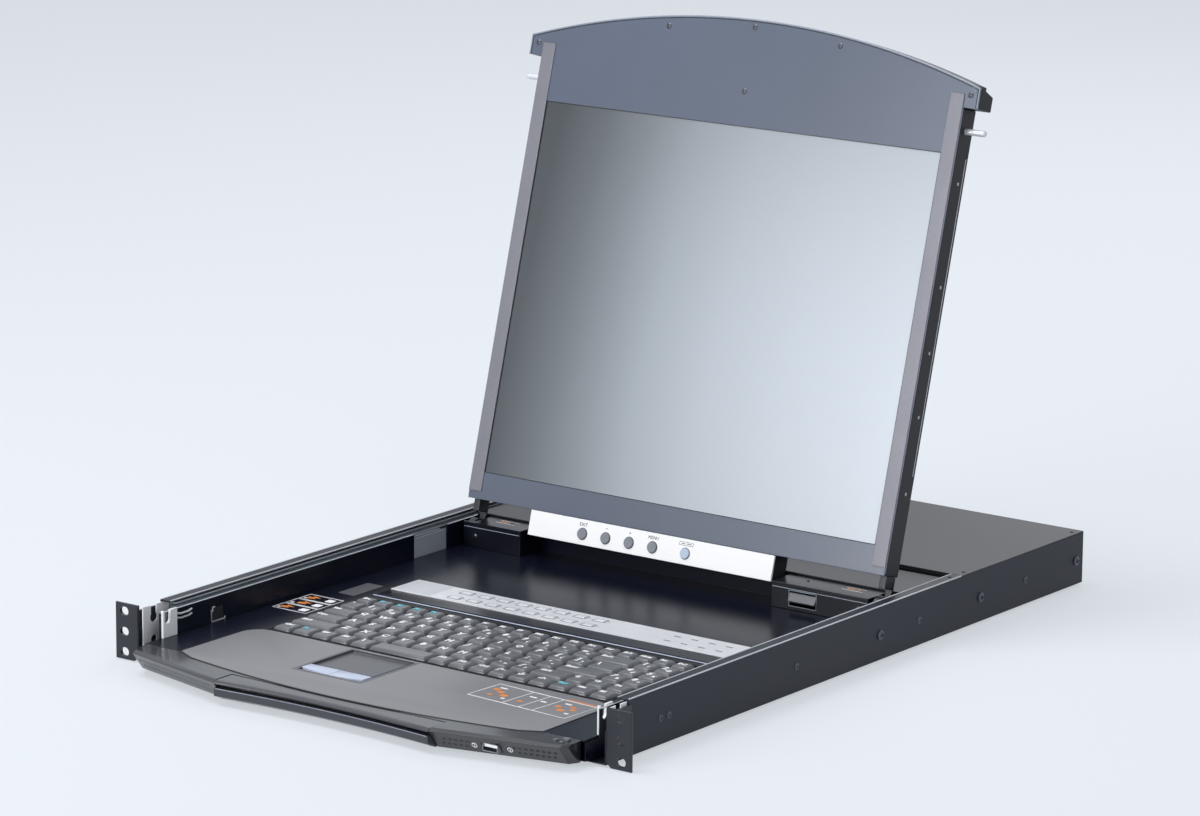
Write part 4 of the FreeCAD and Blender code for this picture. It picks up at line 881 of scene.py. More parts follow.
def makeDisplayScrews():
    places, radius = [], 0.0
    for low, high in islands("lcd_screws"):
        radius = (high.x - low.x) / 2
        local = onDisplay.inverted() @ ((low + high) / 2)
        places.append((displayPoint(local.x / mm, local.z / mm), -through))
    head = screwSettings(radius, screwSizes["displayHead"])
    growOnPoints("displayScrews", "screw", places, head, "darkScrew", "display",
                 ("lcd_screws",))
    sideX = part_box("lcd_back_cover")[1].x / mm
    places = [(displayPoint(side * sideX, up, sideScrews["behind"]), Vector((side, 0, 0)))
              for side in (-1, 1) for up in sideScrews["heights"]]
    head = screwSettings(sideScrews["radius"], sideScrews["head"])
    growOnPoints("displaySideScrews", "screw", places, head, "screwMetal", "display")


makeChassisScrews()
makeDisplayScrews()
print("screws made")

display = {"half": 201.2, "archHalf": 214.3, "foot": 361.6, "corner": 378.0, "apex": 410.5,
           "glassHalf": 188.5, "glassLow": 22.4, "glassHigh": 325.7, "stripLow": 7.5, "stripHigh": 371,
           "seamLow": 78, "seamHigh": 324, "seamBehind": 16.9}


def archPath(inset, steps=48):
    half = display["archHalf"] - inset
    rise = display["apex"] - display["corner"]
    radius = (display["archHalf"] ** 2 + rise ** 2) / (2 * rise)
    center = display["apex"] - radius
    reach = radius - inset
    turn = atan2(half, sqrt(reach ** 2 - half ** 2))
    turns = [-turn + 2 * turn * i / steps for i in range(steps + 1)]
    foot = display["foot"] + 0.8
    return [(-half, foot)] + [(reach * sin(a), center + reach * cos(a)) for a in turns] + [(half, foot)]


def onBothSides(across, low, high, behind):
    return [[displayPoint(side * across, up, behind) for up in (low, high)] for side in (-1, 1)]


def makeDisplayTrim():
    half, low, high = display["glassHalf"], display["glassLow"], display["glassHigh"]
    loop = [(-half, low), (half, low), (half, high), (-half, high)]
    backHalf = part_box("lcd_back_cover")[1].x / mm
    # pale beads along the arch rim and the outer frame edges: painted highlights
    bead("archRimHighlight", [[displayPoint(x, z, 0.5) for x, z in archPath(0.7)]], 0.75, "paintedHighlight", "display")
    # dark bead along the arch gap: painted shade
    bead("archGapShade", [[displayPoint(x, z, 0.08) for x, z in archPath(2.0)]], 0.35, "darkInsertAndShade", "display")
    bead("frameEdgeHighlights", onBothSides(display["half"] - 0.25, 2.0, display["foot"] - 1, 0.7), 0.55, "paintedHighlight",
         "display")
    bead("glassGasket", [[displayPoint(x, z, 0.15) for x, z in loop]], 0.4, "darkInsertAndShade", "display",
         closed=True)
    # pale beads along the side strip edges and the side seams: painted highlights
    strips = onBothSides(half + 0.7, display["stripLow"], display["stripHigh"], -0.5)
    bead("stripEdgeHighlights", strips, 0.3, "paleLabelAndHighlight", "display")
    seams = onBothSides(backHalf - 0.25, display["seamLow"], display["seamHigh"], display["seamBehind"])
    bead("seamHighlights", seams, 0.45, "paleLabelAndHighlight", "display")


osd = {"height": -11.8, "first": -83.5, "pitch": 22.9, "radius": 4.4, "power": 16.9, "powerRadius": 4.2,
       "ringGap": 0.25, "wordRise": 7.4, "wordSize": 3.8, "labelRise": 7.6, "labelHalf": (6.5, 1.3),
       "words": ("EXIT", "−", "+", "MENU"), "dashes": ((-4.5, -1.5), (0.5, 4.8))}


def ringPath(centerX, radius, steps=24):
    turns = [2 * pi * i / steps for i in range(steps)]
    return [displayPoint(centerX + radius * cos(a), osd["height"] + radius * sin(a)) for a in turns]


def makeOsdTrim():
    across = [osd["first"] + osd["pitch"] * i for i in range(len(osd["words"]))]
    rings = [ringPath(x, osd["radius"] + osd["ringGap"]) for x in across]
    rings.append(ringPath(osd["power"], osd["powerRadius"] + osd["ringGap"]))
    bead("osdRings", rings, 0.28, "legendDark", "display", closed=True, sides=6)
    letters = [textShape(word, osd["wordSize"], onFace(x, osd["height"] + osd["wordRise"], 0.04), 0.05)
               for x, word in zip(across, osd["words"])]
    addPiece("osdLegends", joined("osdLegends", letters), "legendDark", "display")
    x, z = osd["power"], osd["height"] + osd["labelRise"]
    wide, tall = osd["labelHalf"]
    corners = [(-wide, -tall), (wide, -tall), (wide, tall), (-wide, tall)]
    label = [displayPoint(x + dx, z + dz) for dx, dz in corners]
    bead("powerLabel", [label], 0.22, "legendDark", "display", closed=True, sides=6)
    dashes = [[displayPoint(x + a, z), displayPoint(x + b, z)] for a, b in osd["dashes"]]
    bead("powerMark", dashes, 0.3, "legendDark", "display", sides=6)


makeDisplayTrim()
makeOsdTrim()
print("display trim made")

keyShape = {"sideInset": 0.9, "shoulderInset": 1.9, "topInset": 2.5, "dish": 0.3, "cornerSteps": 3}
lettering = {"fromLeft": 5.6, "fromBack": 6.0, "single": 8.6, "word": 4.9, "weight": 0.46,
             "shifted": 5.4, "shiftedWeight": 0.32, "shiftedRight": 5.8, "shiftedDown": 4.6,
             "wordStart": 3.0, "perLetter": 1.25}
legends = {
    "main_keys": [["Ctrl", "*Fn", "Sys", "Alt", "\\", "", "Alt", "Alt", "Ctrl", "←", "↓", "→", "*End"],
                  ["Shift", "Z", "X", "C", "V", "B", "N", "M", ",", ".", "/", "Shift", "↑"],
                  ["Caps", "A", "S", "D", "F", "G", "H", "J", "K", "L", ";", "'", "Enter"],
                  ["Tab", "Q", "W", "E", "R", "T", "Y", "U", "I", "O", "P", "[", "]", "\\"],
                  ["`", "1", "2", "3", "4", "5", "6", "7", "8", "9", "0", "-", "=", "Back"]],
    "cursor_keys": [["Hm", "Ed"], ["Up", "Dn"], ["7", "8"], ["4", "5"], ["1", "2"]],
    "function_keys": [["Esc", "*F1", "*F2", "*F3", "*F4", "F5", "F6", "F7", "F8", "F9", "F10", "F11", "F12",
                       "Prt", "Scr", "Brk", "Num", "Ins", "Del"]],
}  # a star marks a blue word
shifted = dict(zip("1234567890-=[];',./", "!@#$%^&*()_+{}:\"<>?"))


def ringLoop(shape, box, inset, radius, z):
    low, high = box
    points = roundedRect((low.x / mm + inset, high.x / mm - inset), (low.y / mm + inset, high.y / mm - inset),
                         radius, keyShape["cornerSteps"])
    return [shape.verts.new((x * mm, y * mm, z)) for x, y in points]


def addKeycap(shape, box):
    # a key's outline drawn in level by level, from its skirt to the dished middle
    low, high = box
    top = high.z
    levels = [(0.4, 0.6, low.z), (keyShape["sideInset"], 0.9, top - 1.7 * mm),
              (keyShape["shoulderInset"], 1.6, top - 0.3 * mm), (keyShape["topInset"], 1.7, top),
              (keyShape["topInset"] + 2.2, 1.4, top - 0.7 * keyShape["dish"] * mm)]
    loops = [ringLoop(shape, box, *level) for level in levels]
    count = len(loops[0])
    for lower, upper in zip(loops, loops[1:]):
        for i in range(count):
            following = (i + 1) % count
            shape.faces.new((lower[i], lower[following], upper[following], upper[i]))
    shape.faces.new(list(reversed(loops[0])))
    shape.faces.new(loops[-1])


def keyRows(node):
    # key boxes grouped in rows from front to back, each row from left to right
    rows = {}
    for box in islands(node):
        rows.setdefault(round((box[0].y + box[1].y) / 2 / mm), []).append(box)
    return [sorted(rows[y], key=lambda box: box[0].x) for y in sorted(rows)]


def legendShapes(box, word):
    low, high = box
    left, back = low.x / mm + lettering["fromLeft"], high.y / mm - lettering["fromBack"]
    z = high.z - 0.02 * mm
    size = lettering["single"]
    if len(word) > 1:
        reach = lettering["wordStart"] + lettering["perLetter"] * len(word)
        left, size = low.x / mm + min(reach, (high.x - low.x) / mm / 2), lettering["word"]
    shapes = [textShape(word, size, flatAt(left, back, z), lettering["weight"])]
    if word in shifted:
        place = flatAt(left + lettering["shiftedRight"], back - lettering["shiftedDown"], z)
        shapes.append(textShape(shifted[word], lettering["shifted"], place, lettering["shiftedWeight"]))
    return shapes


def makeKeys():
    for node, rowsOfWords in legends.items():
        body, slot = bodyOf[node], slotOf[node]
        shape = bmesh.new()
        white, blue = [], []
        for row, words in zip(keyRows(node), rowsOfWords):
            for box in row:
                addKeycap(shape, box)
            for box, word in zip(row, words):
                if word:
                    (blue if word.startswith("*") else white).extend(legendShapes(box, word.lstrip("*")))
        bmesh.ops.recalc_face_normals(shape, faces=shape.faces)
        addPiece(body + "Caps", meshOf(body + "Caps", shape, 50), "keyPlastic", body, (node,))
        addPiece(body + "Legends", joined(body + "Legends", white), "legendWhite", body)
        if blue:
            addPiece(body + "BlueLegends", joined(body + "BlueLegends", blue), "legendCyan", body)


makeKeys()
print("keys made")

palm = {"cornerBack": 17.0, "cornerFront": 5.0, "grooveGap": 0.75, "ends": -11.5, "rim": 0.22, "groove": 0.5}
pad = {"rimInset": 0.6, "rimDrop": 8, "wellSide": 0.4, "wellFront": 0.8, "wellBack": 3.2, "buttonDip": 4.4,
       "dipPower": 1.8, "dipSteps": 8}


def palmOutline(grow=0.0, steps=40):
    low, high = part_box("palm_rest")
    half = high.x / mm + grow
    back, middle, end = high.y / mm, low.y / mm - grow, palm["ends"] - grow
    radius = (half ** 2 + (end - middle) ** 2) / (2 * (end - middle))
    turn = atan2(half, radius - (end - middle))
    turns = [-turn + 2 * turn * i / steps for i in range(steps + 1)]
    front = [(radius * sin(a), middle + radius - radius * cos(a)) for a in turns]
    corner, nip = palm["cornerBack"], palm["cornerFront"]
    front = [(-half, end + nip)] + front[2:-2] + [(half, end + nip)]
    quarter = [(corner * cos(radians(a)), corner * sin(radians(a))) for a in range(0, 91, 9)]
    right = [(half - corner + dx, back - corner + dy) for dx, dy in quarter]
    left = [(-half + corner - dy, back - corner + dx) for dx, dy in quarter]
    return front, front + right + left


def makePalmRest():
    outline = palmOutline()[1]
    (x0, x1), (y0, y1) = plan("touchpad")
    pocket = [(x0, y0), (x1, y0), (x1, y1), (x0, y1)]
    plate = plateMesh("palmRest", [outline, pocket], deckTop, palmTop, palm["rim"])
    addPiece("palmRest", plate, "palmPlastic", "drawer", ("palm_rest",))
    # dark bead along the groove round the palm rest front: painted shade
    path = palmOutline(palm["grooveGap"])[0]
    bead("palmGrooveShade", [deckPoints(path, deckTop + 0.05 * mm)], palm["groove"], "darkInsertAndShade", "drawer")


def makePad():
    (x0, x1), (y0, y1) = plan("touchpad")
    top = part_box("touchpad")[1].z
    inset = pad["rimInset"]
    front = y0 + inset + pad["rimDrop"]
    corner = [(x0 + inset, front), (x0 + inset, y1 - inset), (x1 - inset, y1 - inset), (x1 - inset, front)]
    # pale bead round the pad: painted highlight
    bead("padRimHighlight", [deckPoints(corner, top)], 0.3, "paintedHighlight", "drawer")
    left, right = plan("pad_button_left"), plan("pad_button_right")
    wellX = (left[0][0] - pad["wellSide"], right[0][1] + pad["wellSide"])
    wellY = (right[1][1] + pad["wellFront"], y1 - pad["wellBack"])
    well = [(wellX[0], wellY[0]), (wellX[0], wellY[1]), (wellX[1], wellY[1]), (wellX[1], wellY[0])]
    # dark bead round the button well: painted shade
    bead("padGapShade", [deckPoints(well, top - 0.1 * mm)], 0.4, "darkInsertAndShade", "drawer", closed=True)
    for node, side in (("pad_button_left", -1), ("pad_button_right", 1)):
        (x0, x1), (y0, y1) = plan(node)
        outer, inner = (x0, x1) if side < 0 else (x1, x0)
        shares = [i / pad["dipSteps"] for i in range(pad["dipSteps"] + 1)]
        front = [(outer + (inner - outer) * share, y0 + pad["buttonDip"] * (1 - share) ** pad["dipPower"])
                 for share in shares]
        low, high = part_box(node)
        cap = plateMesh(node, [front + [(inner, y1), (outer, y1)]], low.z, high.z, 0.35)
        addPiece(node + "Cap", cap, "padButton", bodyOf[node], (node,))


strip = {"blankLong": 36.0, "frameGrow": 1.5, "numberSize": 2.6, "numberRight": 4.0, "marksFrom": 96,
         "markPitch": 16, "markLong": 6, "markColumns": 4, "markRows": (0.3, 0.7)}


def makeDeckTrim():
    (x0, x1), (y0, y1) = plan("keyboard_base")
    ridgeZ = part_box("keyboard_base")[1].z
    bead("keyboardRidge", [deckPoints([(x0 + 1, y1 - 1.2), (x1 - 1, y1 - 1.2)], ridgeZ)], 0.45, "padButton",
         "drawer")
    back = y1
    (x0, x1), (y0, y1) = plan("port_panel")
    # painted shadow: a dark slab on the deck in front of the silver strip, where the raised strip casts its shade
    channel = roundedRect((x0, x1), (back + 3, y0 - 0.4), 1.0)
    addPiece("stripFrontShadow", plateMesh("stripFrontShadow", [channel], deckTop + 0.02 * mm, deckTop + 0.3 * mm, 0.1),
             "hingePlastic", "drawer")
    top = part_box("port_panel")[1].z
    blank = roundedRect((x0 + 1.0, x0 + 1.0 + strip["blankLong"]), (y0 + 1.5, y1 - 1.5), 1.2)
    plate = plateMesh("stripBlank", [blank], top - 0.1 * mm, top + 0.06 * mm, 0.02)
    addPiece("stripBlank", plate, "paleLabelAndHighlight", "drawer")
    frames, numbers = [], []
    buttons = sorted(islands("select_buttons"), key=lambda box: (-round(box[0].y, 4), box[0].x))
    for index, (a, b) in enumerate(buttons):
        grow = strip["frameGrow"]
        loop = roundedRect((a.x / mm - grow, b.x / mm + grow), (a.y / mm - grow, b.y / mm + grow), 1.0, 2)
        frames.append(deckPoints(loop, top))
        place = flatAt(b.x / mm + strip["numberRight"], (a.y + b.y) / 2 / mm, top + 0.03 * mm)
        numbers.append(textShape(str(index + 1), strip["numberSize"], place))
    bead("selectFrames", frames, 0.2, "legendDark", "drawer", closed=True, sides=6)
    addPiece("selectNumbers", joined("selectNumbers", numbers), "legendDark", "drawer")
    marks = []
    for column in range(strip["markColumns"]):
        for row in strip["markRows"]:
            x, y = strip["marksFrom"] + strip["markPitch"] * column, y0 + (y1 - y0) * row
            marks.append(deckPoints([(x, y), (x + strip["markLong"], y)], top))
    bead("stripMarks", marks, 0.35, "legendDark", "drawer", sides=6)


makePalmRest()
makePad()
makeDeckTrim()
print("deck trim made")

stickers = {"leftX": (-199, -166), "leftY": (132, 180), "rightX": (71, 164), "rightY": (30, 66),
            "turn": -4.0, "line": 0.3, "cells": 3, "cellGap": 0.8, "columns": (33, 49, 62),
            "label": ((-186, -170), (196, 233)),
            "bolt": [(4, -4), (12, -2), (9, 0.4), (15, 1.4), (5, 5), (8, 1.8), (3, 0.6)]}
# right sticker: across, up and half width of each mark
rightMarks = {
    "orange": ((8, 24, 3.2), (15, 20, 3.0), (22, 15, 3.4), (12, 11, 2.2), (40, 12, 2.4), (70, 20, 2.8),
               (77, 14, 3.2), (84, 20, 2.6), (80, 25, 2.2)),
    "white": ((10, 29, 3.5), (26, 9, 2.0), (41, 26, 3.4), (54, 22, 2.8), (72, 29, 3.2), (86, 10, 2.0)),
}


def makeLeftSticker():
    z = deckTop + 0.02 * mm
    (x0, x1), (y0, y1) = stickers["leftX"], stickers["leftY"]
    step, gap = (y1 - y0) / stickers["cells"], stickers["cellGap"]
    loops, bolts, pale = [], [], []
    for i in range(stickers["cells"]):
        low, high, middle = y0 + step * i + gap, y0 + step * (i + 1) - gap, y0 + step * (i + 0.5)
        loops.append(deckPoints([(x0, low), (x1, low), (x1, high), (x0, high)], z))
        bolts.append(patch([(x0 + 4 * (i % 2) + dx, middle + dy) for dx, dy in stickers["bolt"]], z))
        pale.append(patch(roundedRect((x1 - 11, x1 - 4), (middle - 3.5, middle + 3.5), 0.8, 2), z))
        pale.append(patch(roundedRect((x0 + 2, x0 + 5), (middle - 5, middle - 2), 0.8, 2), z))
    bead("leftStickerLines", loops, stickers["line"], "legendWhite", "drawer", closed=True, sides=6)
    addPiece("leftStickerMarks", joined("leftStickerMarks", bolts), "markOrange", "drawer")
    addPiece("leftStickerPatches", joined("leftStickerPatches", pale), "legendWhite", "drawer")
    label = roundedRect(*stickers["label"], 1.5, 3)
    addPiece("deckLabel", plateMesh("deckLabel", [label], z, z + 0.12 * mm), "keyPlastic", "drawer")


def makeRightSticker():
    # this one lies a little askew on the palm rest
    z = palmTop + 0.02 * mm
    (x0, x1), (y0, y1) = stickers["rightX"], stickers["rightY"]
    midX, midY = (x0 + x1) / 2, (y0 + y1) / 2
    turn = radians(stickers["turn"])

    def askew(points):
        return [(midX + (x - midX) * cos(turn) - (y - midY) * sin(turn),
                 midY + (x - midX) * sin(turn) + (y - midY) * cos(turn)) for x, y in points]

    border = askew([(x0, y0), (x1, y0), (x1, y1), (x0, y1)])
    bead("rightStickerFrame", [deckPoints(border, z)], stickers["line"], "legendWhite", "drawer",
         closed=True, sides=6)
    lines = [deckPoints(askew([(x0 + x, y0), (x0 + x, y1)]), z) for x in stickers["columns"]]
    bead("rightStickerLines", lines, stickers["line"], "legendWhite", "drawer", sides=6)
    orange, white = [], []
    for x, y, size in rightMarks["orange"]:
        tall = size * 0.7
        shape = roundedRect((x0 + x - size, x0 + x + size), (y0 + y - tall, y0 + y + tall), size * 0.45, 3)
        orange.append(patch(askew(shape), z))
    for x, y, size in rightMarks["white"]:
        shape = roundedRect((x0 + x - size, x0 + x + size), (y0 + y - 1.0, y0 + y + 1.0), 0.8, 2)
        white.append(patch(askew(shape), z))
    left, low, high = x0 + stickers["columns"][-1] + 2, y1 + 1.5, y1 + 3.2
    orange.append(patch(askew([(left, low), (x1, low), (x1, high), (left, high)]), z))
    addPiece("rightStickerMarks", joined("rightStickerMarks", orange), "markOrange", "drawer")
    addPiece("rightStickerPatches", joined("rightStickerPatches", white), "legendWhite", "drawer")


makeLeftSticker()
makeRightSticker()
print("stickers made")

surfaces = {}


def frontOf(node, x, z):
    # where a line from the front first meets a node, and the way that spot faces
    if node not in surfaces:
        shape = bmesh.new()
        shape.from_mesh(nodes[node].data)
        surfaces[node] = BVHTree.FromBMesh(shape)
        shape.free()
    return surfaces[node].ray_cast(Vector((x * mm, -1.0, z)), Vector((0, 1, 0)))[:2]


grip = {"endGap": 1.5, "steps": 48, "sunk": 0.25, "groove": 11.4, "grooveBack": 0.3,
        "edges": (("handleLowHighlight", 0.9, 0.45), ("handleBarHighlight", 9.6, 0.35))}


def makeHandleTrim():
    low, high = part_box("handle")
    reach = high.x / mm - grip["endGap"]
    across = [-reach + 2 * reach * i / grip["steps"] for i in range(grip["steps"] + 1)]
    # pale beads along the grip's edges: painted highlights
    for name, rise, radius in grip["edges"]:
        met = [frontOf("handle", x, low.z + rise * mm) for x in across]
        path = [place - normal * grip["sunk"] * mm for place, normal in met if place]
        bead(name, [path], radius, "paintedHighlight", "drawer")
    # dark bead over the back of the groove: painted shade
    met = [frontOf("handle", x, low.z + grip["groove"] * mm) for x in across]
    path = [place + spot(0, grip["grooveBack"], 0) for place, normal in met]
    bead("handleGrooveShade", [path], 1.1, "darkInsertAndShade", "drawer")


grille = {"pitch": 4.55, "rows": 2, "radius": 1.4, "plainFrom": 128.0, "plainTo": 162.0,
          "firstColumn": 1.2, "firstRow": 0.36, "rowGap": 0.3, "sunk": 0.13,
          "cornerX": 3.5, "cornerY": -28.0, "cornerDrop": 2.0, "slopeBack": 11.0}


def makeGrille():
    low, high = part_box("front_bezel")
    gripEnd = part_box("handle")[1].x
    top = deckTop - grille["cornerDrop"] * mm
    begin = Vector((high.x - grille["cornerX"] * mm, grille["cornerY"] * mm, top))
    run = Vector((gripEnd, low.y, begin.z)) - begin
    length, run = run.length / mm, run.normalized()
    slope = Vector((0, grille["slopeBack"] * mm, low.z - begin.z))
    out = run.cross(slope).normalized()
    holes = []
    for row in range(grille["rows"]):
        for column in range(int((length - 2 * grille["pitch"]) / grille["pitch"])):
            share = grille["pitch"] * (grille["firstColumn"] + column + 0.5 * row)
            down = slope * (grille["firstRow"] + grille["rowGap"] * row)
            place = begin + run * share * mm + down - out * grille["sunk"] * mm
            if not grille["plainFrom"] * mm < place.x < grille["plainTo"] * mm:
                holes.append((place, out))
            holes.append((Vector((-place.x, place.y, place.z)), Vector((-out.x, out.y, out.z))))
    # dark discs just inside the holes: painted shade
    sizes = {"Post Radius": grille["radius"] * mm, "Post Length": 0.0003, "Post Sides": 12}
    growOnPoints("grilleHoleShade", "post", holes, sizes, "darkInsertAndShade", "drawer")


usb = {"tongueSide": 0.9, "tongueFront": 0.9, "tongueBack": 7.0, "tongueTop": 0.7, "tongueLow": 2.7,
       "marks": (132.0, 159.0), "markHeight": -0.0127, "markHalf": (1.9, 2.3), "stemHalf": 0.9, "proud": 0.08}


def makeUsbTrim():
    low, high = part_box("usb_port")
    outline = roundedRect((low.x / mm + usb["tongueSide"], high.x / mm - usb["tongueSide"]),
                          (low.y / mm + usb["tongueFront"], low.y / mm + usb["tongueBack"]), 0.2, 2)
    tongue = slabFrom(outline, high.z - usb["tongueLow"] * mm, high.z - usb["tongueTop"] * mm, 0.1)
    addPiece("usbTongue", meshOf("usbTongue", tongue), "legendWhite", "drawer")
    rings, stems = [], []
    wide, tall = usb["markHalf"]
    for x in usb["marks"]:
        place, normal = frontOf("front_bezel", x, usb["markHeight"])
        right = Vector((0, 0, 1)).cross(normal).normalized()
        up = normal.cross(right)
        middle = place + normal * usb["proud"] * mm
        turns = [a * pi / 8 for a in range(16)]
        rings.append([middle + right * wide * mm * cos(a) + up * tall * mm * sin(a) for a in turns])
        stems.append([middle - up * usb["stemHalf"] * mm, middle + up * usb["stemHalf"] * mm])
    bead("portMarks", rings, 0.35, "legendWhite", "drawer", closed=True, sides=6)
    bead("portMarkStems", stems, 0.45, "legendWhite", "drawer", sides=6)


wall = {"edgeRuns": ((11, 315), (359, 457)), "windowY": (70.1, 82.4), "windowZ": (-2.1, 7.7),
        "tabs": (((68.6, 6.6), (68.6, -2.8), (84.0, -2.8), (84.0, -1.2)),
                 ((72.5, 8.4), (70.0, 8.4), (70.0, 5.2))),
        "guideHeights": (8.2, 11.6), "guide": ((29.0, 0.9), (33.0, 0.0), (42.0, 0.2), (45.5, 1.2))}


def makeWallTrim():
    half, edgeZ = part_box("tray_pan")[1].x / mm - 0.6, wallTop / mm - 0.05
    edges = [[spot(side * half, y, edgeZ) for y in run] for side in (-1, 1) for run in wall["edgeRuns"]]
    # bright beads along the top edges of the tray walls: painted highlights
    bead("trayEdgeHighlights", edges, 0.5, "zinc", "drawer")
    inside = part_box("lock_catches")[1].x / mm - 0.15
    (y0, y1), (z0, z1) = wall["windowY"], wall["windowZ"]
    tabs, liners, guides = [], [], []
    for side in (-1, 1):
        tabs += [[spot(side * inside, y, z) for y, z in tab] for tab in wall["tabs"]]
        liner = plateMesh("liner", [[(y0, z0), (y1, z0), (y1, z1), (y0, z1)]], 0.0, 0.3 * mm)
        place = side * (inside + 0.45) * mm
        liner.transform(Matrix(((0, 0, side, place), (1, 0, 0, 0), (0, 1, 0, 0), (0, 0, 0, 1))))
        if side < 0:
            liner.flip_normals()
        liners.append(liner)
        x = side * (inside - 0.4)
        guides += [[spot(x, y, z + dz) for y, dz in wall["guide"]] for z in wall["guideHeights"]]
    bead("springTabs", tabs, 0.55, "zinc", "drawer")
    addPiece("windowLiners", joined("windowLiners", liners), "darkInsertAndShade", "drawer")
    bead("pinGuides", guides, 0.8, "zinc", "drawer")


# small catch on the deck beside the right front corner: sides, ends and height of each block
catchBlocks = (((187.5, 190.5), (-19.5, -16.0), 1.1), ((192.5, 198.0), (-15.5, -11.5), 1.7),
               ((194.0, 197.0), (-21.0, -18.5), 0.8))


def makeDeckCatch():
    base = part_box("front_bezel")[1].z
    blocks = []
    for x, y, height in catchBlocks:
        slab = slabFrom(roundedRect(x, y, 0.7, 2), base - 0.1 * mm, base + height * mm, 0.25)
        blocks.append(meshOf("block", slab))
    addPiece("deckCatch", joined("deckCatch", blocks), "paddle", "drawer")


panEdge = {"from": 27.0, "insets": (0.5, 9.6), "shortOfCover": 1.0, "radius": 0.6}


def makePanEdges():
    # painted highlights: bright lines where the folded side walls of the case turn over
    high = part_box("chassis_pan")[1]
    begin, end = panEdge["from"] * mm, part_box("rear_cover")[0].y - panEdge["shortOfCover"] * mm
    paths = []
    for side in (-1, 1):
        for inset in panEdge["insets"]:
            x, z = side * (high.x - inset * mm), high.z - 0.1 * mm
            paths.append([Vector((x, begin, z)), Vector((x, end, z))])
    bead("panEdgeHighlights", paths, panEdge["radius"], "paleLabelAndHighlight", "chassis")


hingeTrim = {"lines": ((0.5, 0.5), (0.25, 3.9)), "lineEnds": 1, "screw": (0.0022, 0.0007),
             "leftFace": (12, 0, 9.5), "rightFace": (-9, 0, 11),
             "leftTop": (-20, -9, 0), "rightTop": (24, -9, 0),
             "frameSide": 0.4, "frameLow": 3.4, "frameHigh": 1.9,
             "leftMark": 26, "rightMark": -30, "markBack": -8}


def makeHingeTrim():
    for node in ("hinge_block_left", "hinge_block_right"):
        low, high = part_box(node)
        ends = (low.x + hingeTrim["lineEnds"] * mm, high.x - hingeTrim["lineEnds"] * mm)
        lines = [[Vector((x, low.y + back * mm, high.z - drop * mm)) for x in ends]
                 for back, drop in hingeTrim["lines"]]
        # pale beads along the block's top front edges: painted highlights
        bead(node + "Lines", lines, 0.42, "paintedHighlight", "drawer")
    leftLow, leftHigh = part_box("hinge_block_left")
    rightLow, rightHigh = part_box("hinge_block_right")
    front, above = Vector((0, -1, 0)), Vector((0, 0, 1))
    rightFace = Vector((rightHigh.x, rightLow.y, rightLow.z)) + spot(*hingeTrim["rightFace"])
    rightTop = Vector((rightLow.x, rightHigh.y, rightHigh.z)) + spot(*hingeTrim["rightTop"])
    head = screwSettings(*hingeTrim["screw"])
    places = [(leftLow + spot(*hingeTrim["leftFace"]), front), (rightFace, front)]
    growOnPoints("hingeFaceScrews", "screw", places, head, "darkScrew", "drawer")
    places = [(leftHigh + spot(*hingeTrim["leftTop"]), above), (rightTop, above)]
    growOnPoints("hingeTopScrews", "screw", places, head, "darkScrew", "drawer")
    latchLow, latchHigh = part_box("release_latch")
    x0, x1 = latchLow.x - hingeTrim["frameSide"] * mm, latchHigh.x + hingeTrim["frameSide"] * mm
    z0, z1 = latchLow.z - hingeTrim["frameLow"] * mm, latchHigh.z + hingeTrim["frameHigh"] * mm
    around = [Vector((x, rightLow.y + 0.05 * mm, z)) for x, z in ((x0, z0), (x1, z0), (x1, z1), (x0, z1))]
    # pale outline round the latch: painted highlight
    bead("latchHighlight", [around], 0.4, "paintedHighlight", "drawer", closed=True)
    marks, pale = [], []
    z = leftHigh.z + 0.02 * mm
    for edge, back, side in ((leftLow.x, leftHigh.y, "leftMark"), (rightHigh.x, rightHigh.y, "rightMark")):
        x, y = edge / mm + hingeTrim[side], back / mm + hingeTrim["markBack"]
        marks.append(patch(roundedRect((x, x + 7), (y - 2, y + 1), 0.8, 2), z, 0.1))
        marks.append(patch([(x + 9, y - 2), (x + 13, y - 1), (x + 10, y + 2)], z, 0.1))
        for rise in (2.4, -4.2):
            pale.append(patch(roundedRect((x - 3, x + 16), (y + rise, y + rise + 0.8), 0.3, 2), z, 0.1))
    addPiece("hingeMarks", joined("hingeMarks", marks), "markOrange", "drawer")
    addPiece("hingeMarkLines", joined("hingeMarkLines", pale), "legendWhite", "drawer")


makeHandleTrim()
makeGrille()
makeUsbTrim()
makeWallTrim()
makeDeckCatch()
makePanEdges()
makeHingeTrim()
print("front, wall and hinge trim made")

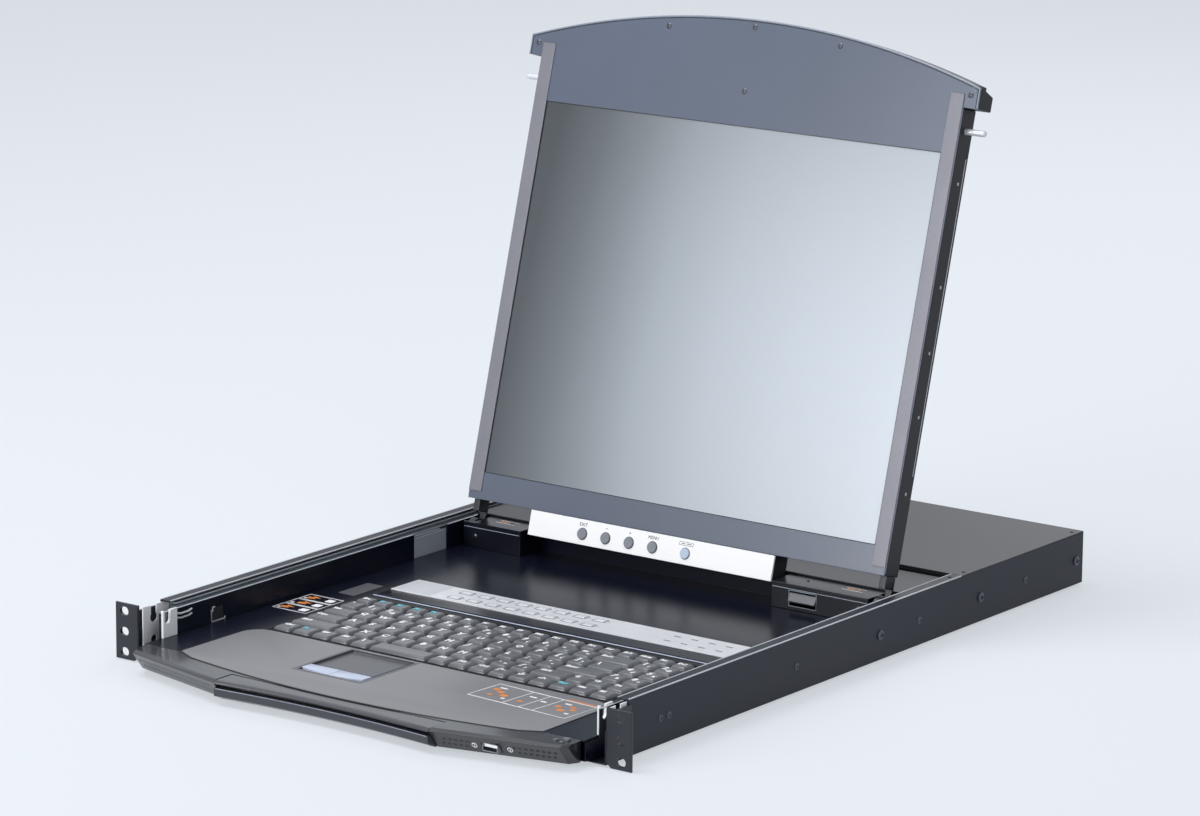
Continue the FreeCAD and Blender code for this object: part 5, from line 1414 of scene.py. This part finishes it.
socket = {"rows": 3, "columns": 5, "rowGap": 1.9, "pitch": 2.2, "rowShift": 0.5, "contactRadius": 0.00045,
          "contactLong": 0.0012, "narrow": 6.4, "wide": 7.0, "tall": 2.9, "deep": 3.0, "insertProud": 0.02,
          "contactProud": 0.04, "numberSize": 3.2, "numberSide": 13.6, "numberRise": 7.4}


def makeRear():
    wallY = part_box("rear_panel")[1].y
    upright = Matrix.Rotation(radians(90), 4, "X")
    seenFromBehind = Matrix.Rotation(radians(180), 4, "Z") @ upright
    contacts, inserts, numbers = [], [], []
    boxes = sorted(islands("port_connectors"), key=lambda box: (-round(box[0].z, 3), -box[0].x))
    for index, (low, high) in enumerate(boxes):
        middle, face = (low + high) / 2, high.y
        contactY = face + socket["contactProud"] * mm - socket["contactLong"] / 2
        for row in range(socket["rows"]):
            for column in range(socket["columns"]):
                x = middle.x + ((column - 2) * socket["pitch"] + (row - 1) * socket["rowShift"]) * mm
                z = middle.z + (1 - row) * socket["rowGap"] * mm
                contacts.append((Vector((x, contactY, z)), Vector((0, 1, 0))))
        x, tall = middle.x / mm, socket["tall"]
        outline = [(x - socket["narrow"], -tall), (x + socket["narrow"], -tall),
                   (x + socket["wide"], tall), (x - socket["wide"], tall)]
        insert = plateMesh("insert", [outline], 0.0, socket["deep"] * mm, 0.2)
        sink = Matrix.Translation((0, 0, -socket["deep"] * mm))
        place = Matrix.Translation((0, face + (socket["insertProud"] - socket["deep"]) * mm, middle.z))
        insert.transform(place @ upright @ sink)
        inserts.append(insert)
        corner = Vector((middle.x, wallY, middle.z)) + spot(socket["numberSide"], 0.03, socket["numberRise"])
        turn = Matrix.Translation(corner) @ seenFromBehind
        numbers.append(textShape(str(index + 1), socket["numberSize"], turn))
    sizes = {"Post Radius": socket["contactRadius"], "Post Length": socket["contactLong"], "Post Sides": 6}
    growOnPoints("portContacts", "post", contacts, sizes, "gold", "chassis")
    addPiece("portInserts", joined("portInserts", inserts), "darkInsertAndShade", "chassis")
    addPiece("portNumbers", joined("portNumbers", numbers), "legendWhite", "chassis")


makeRear()
print("rear made")
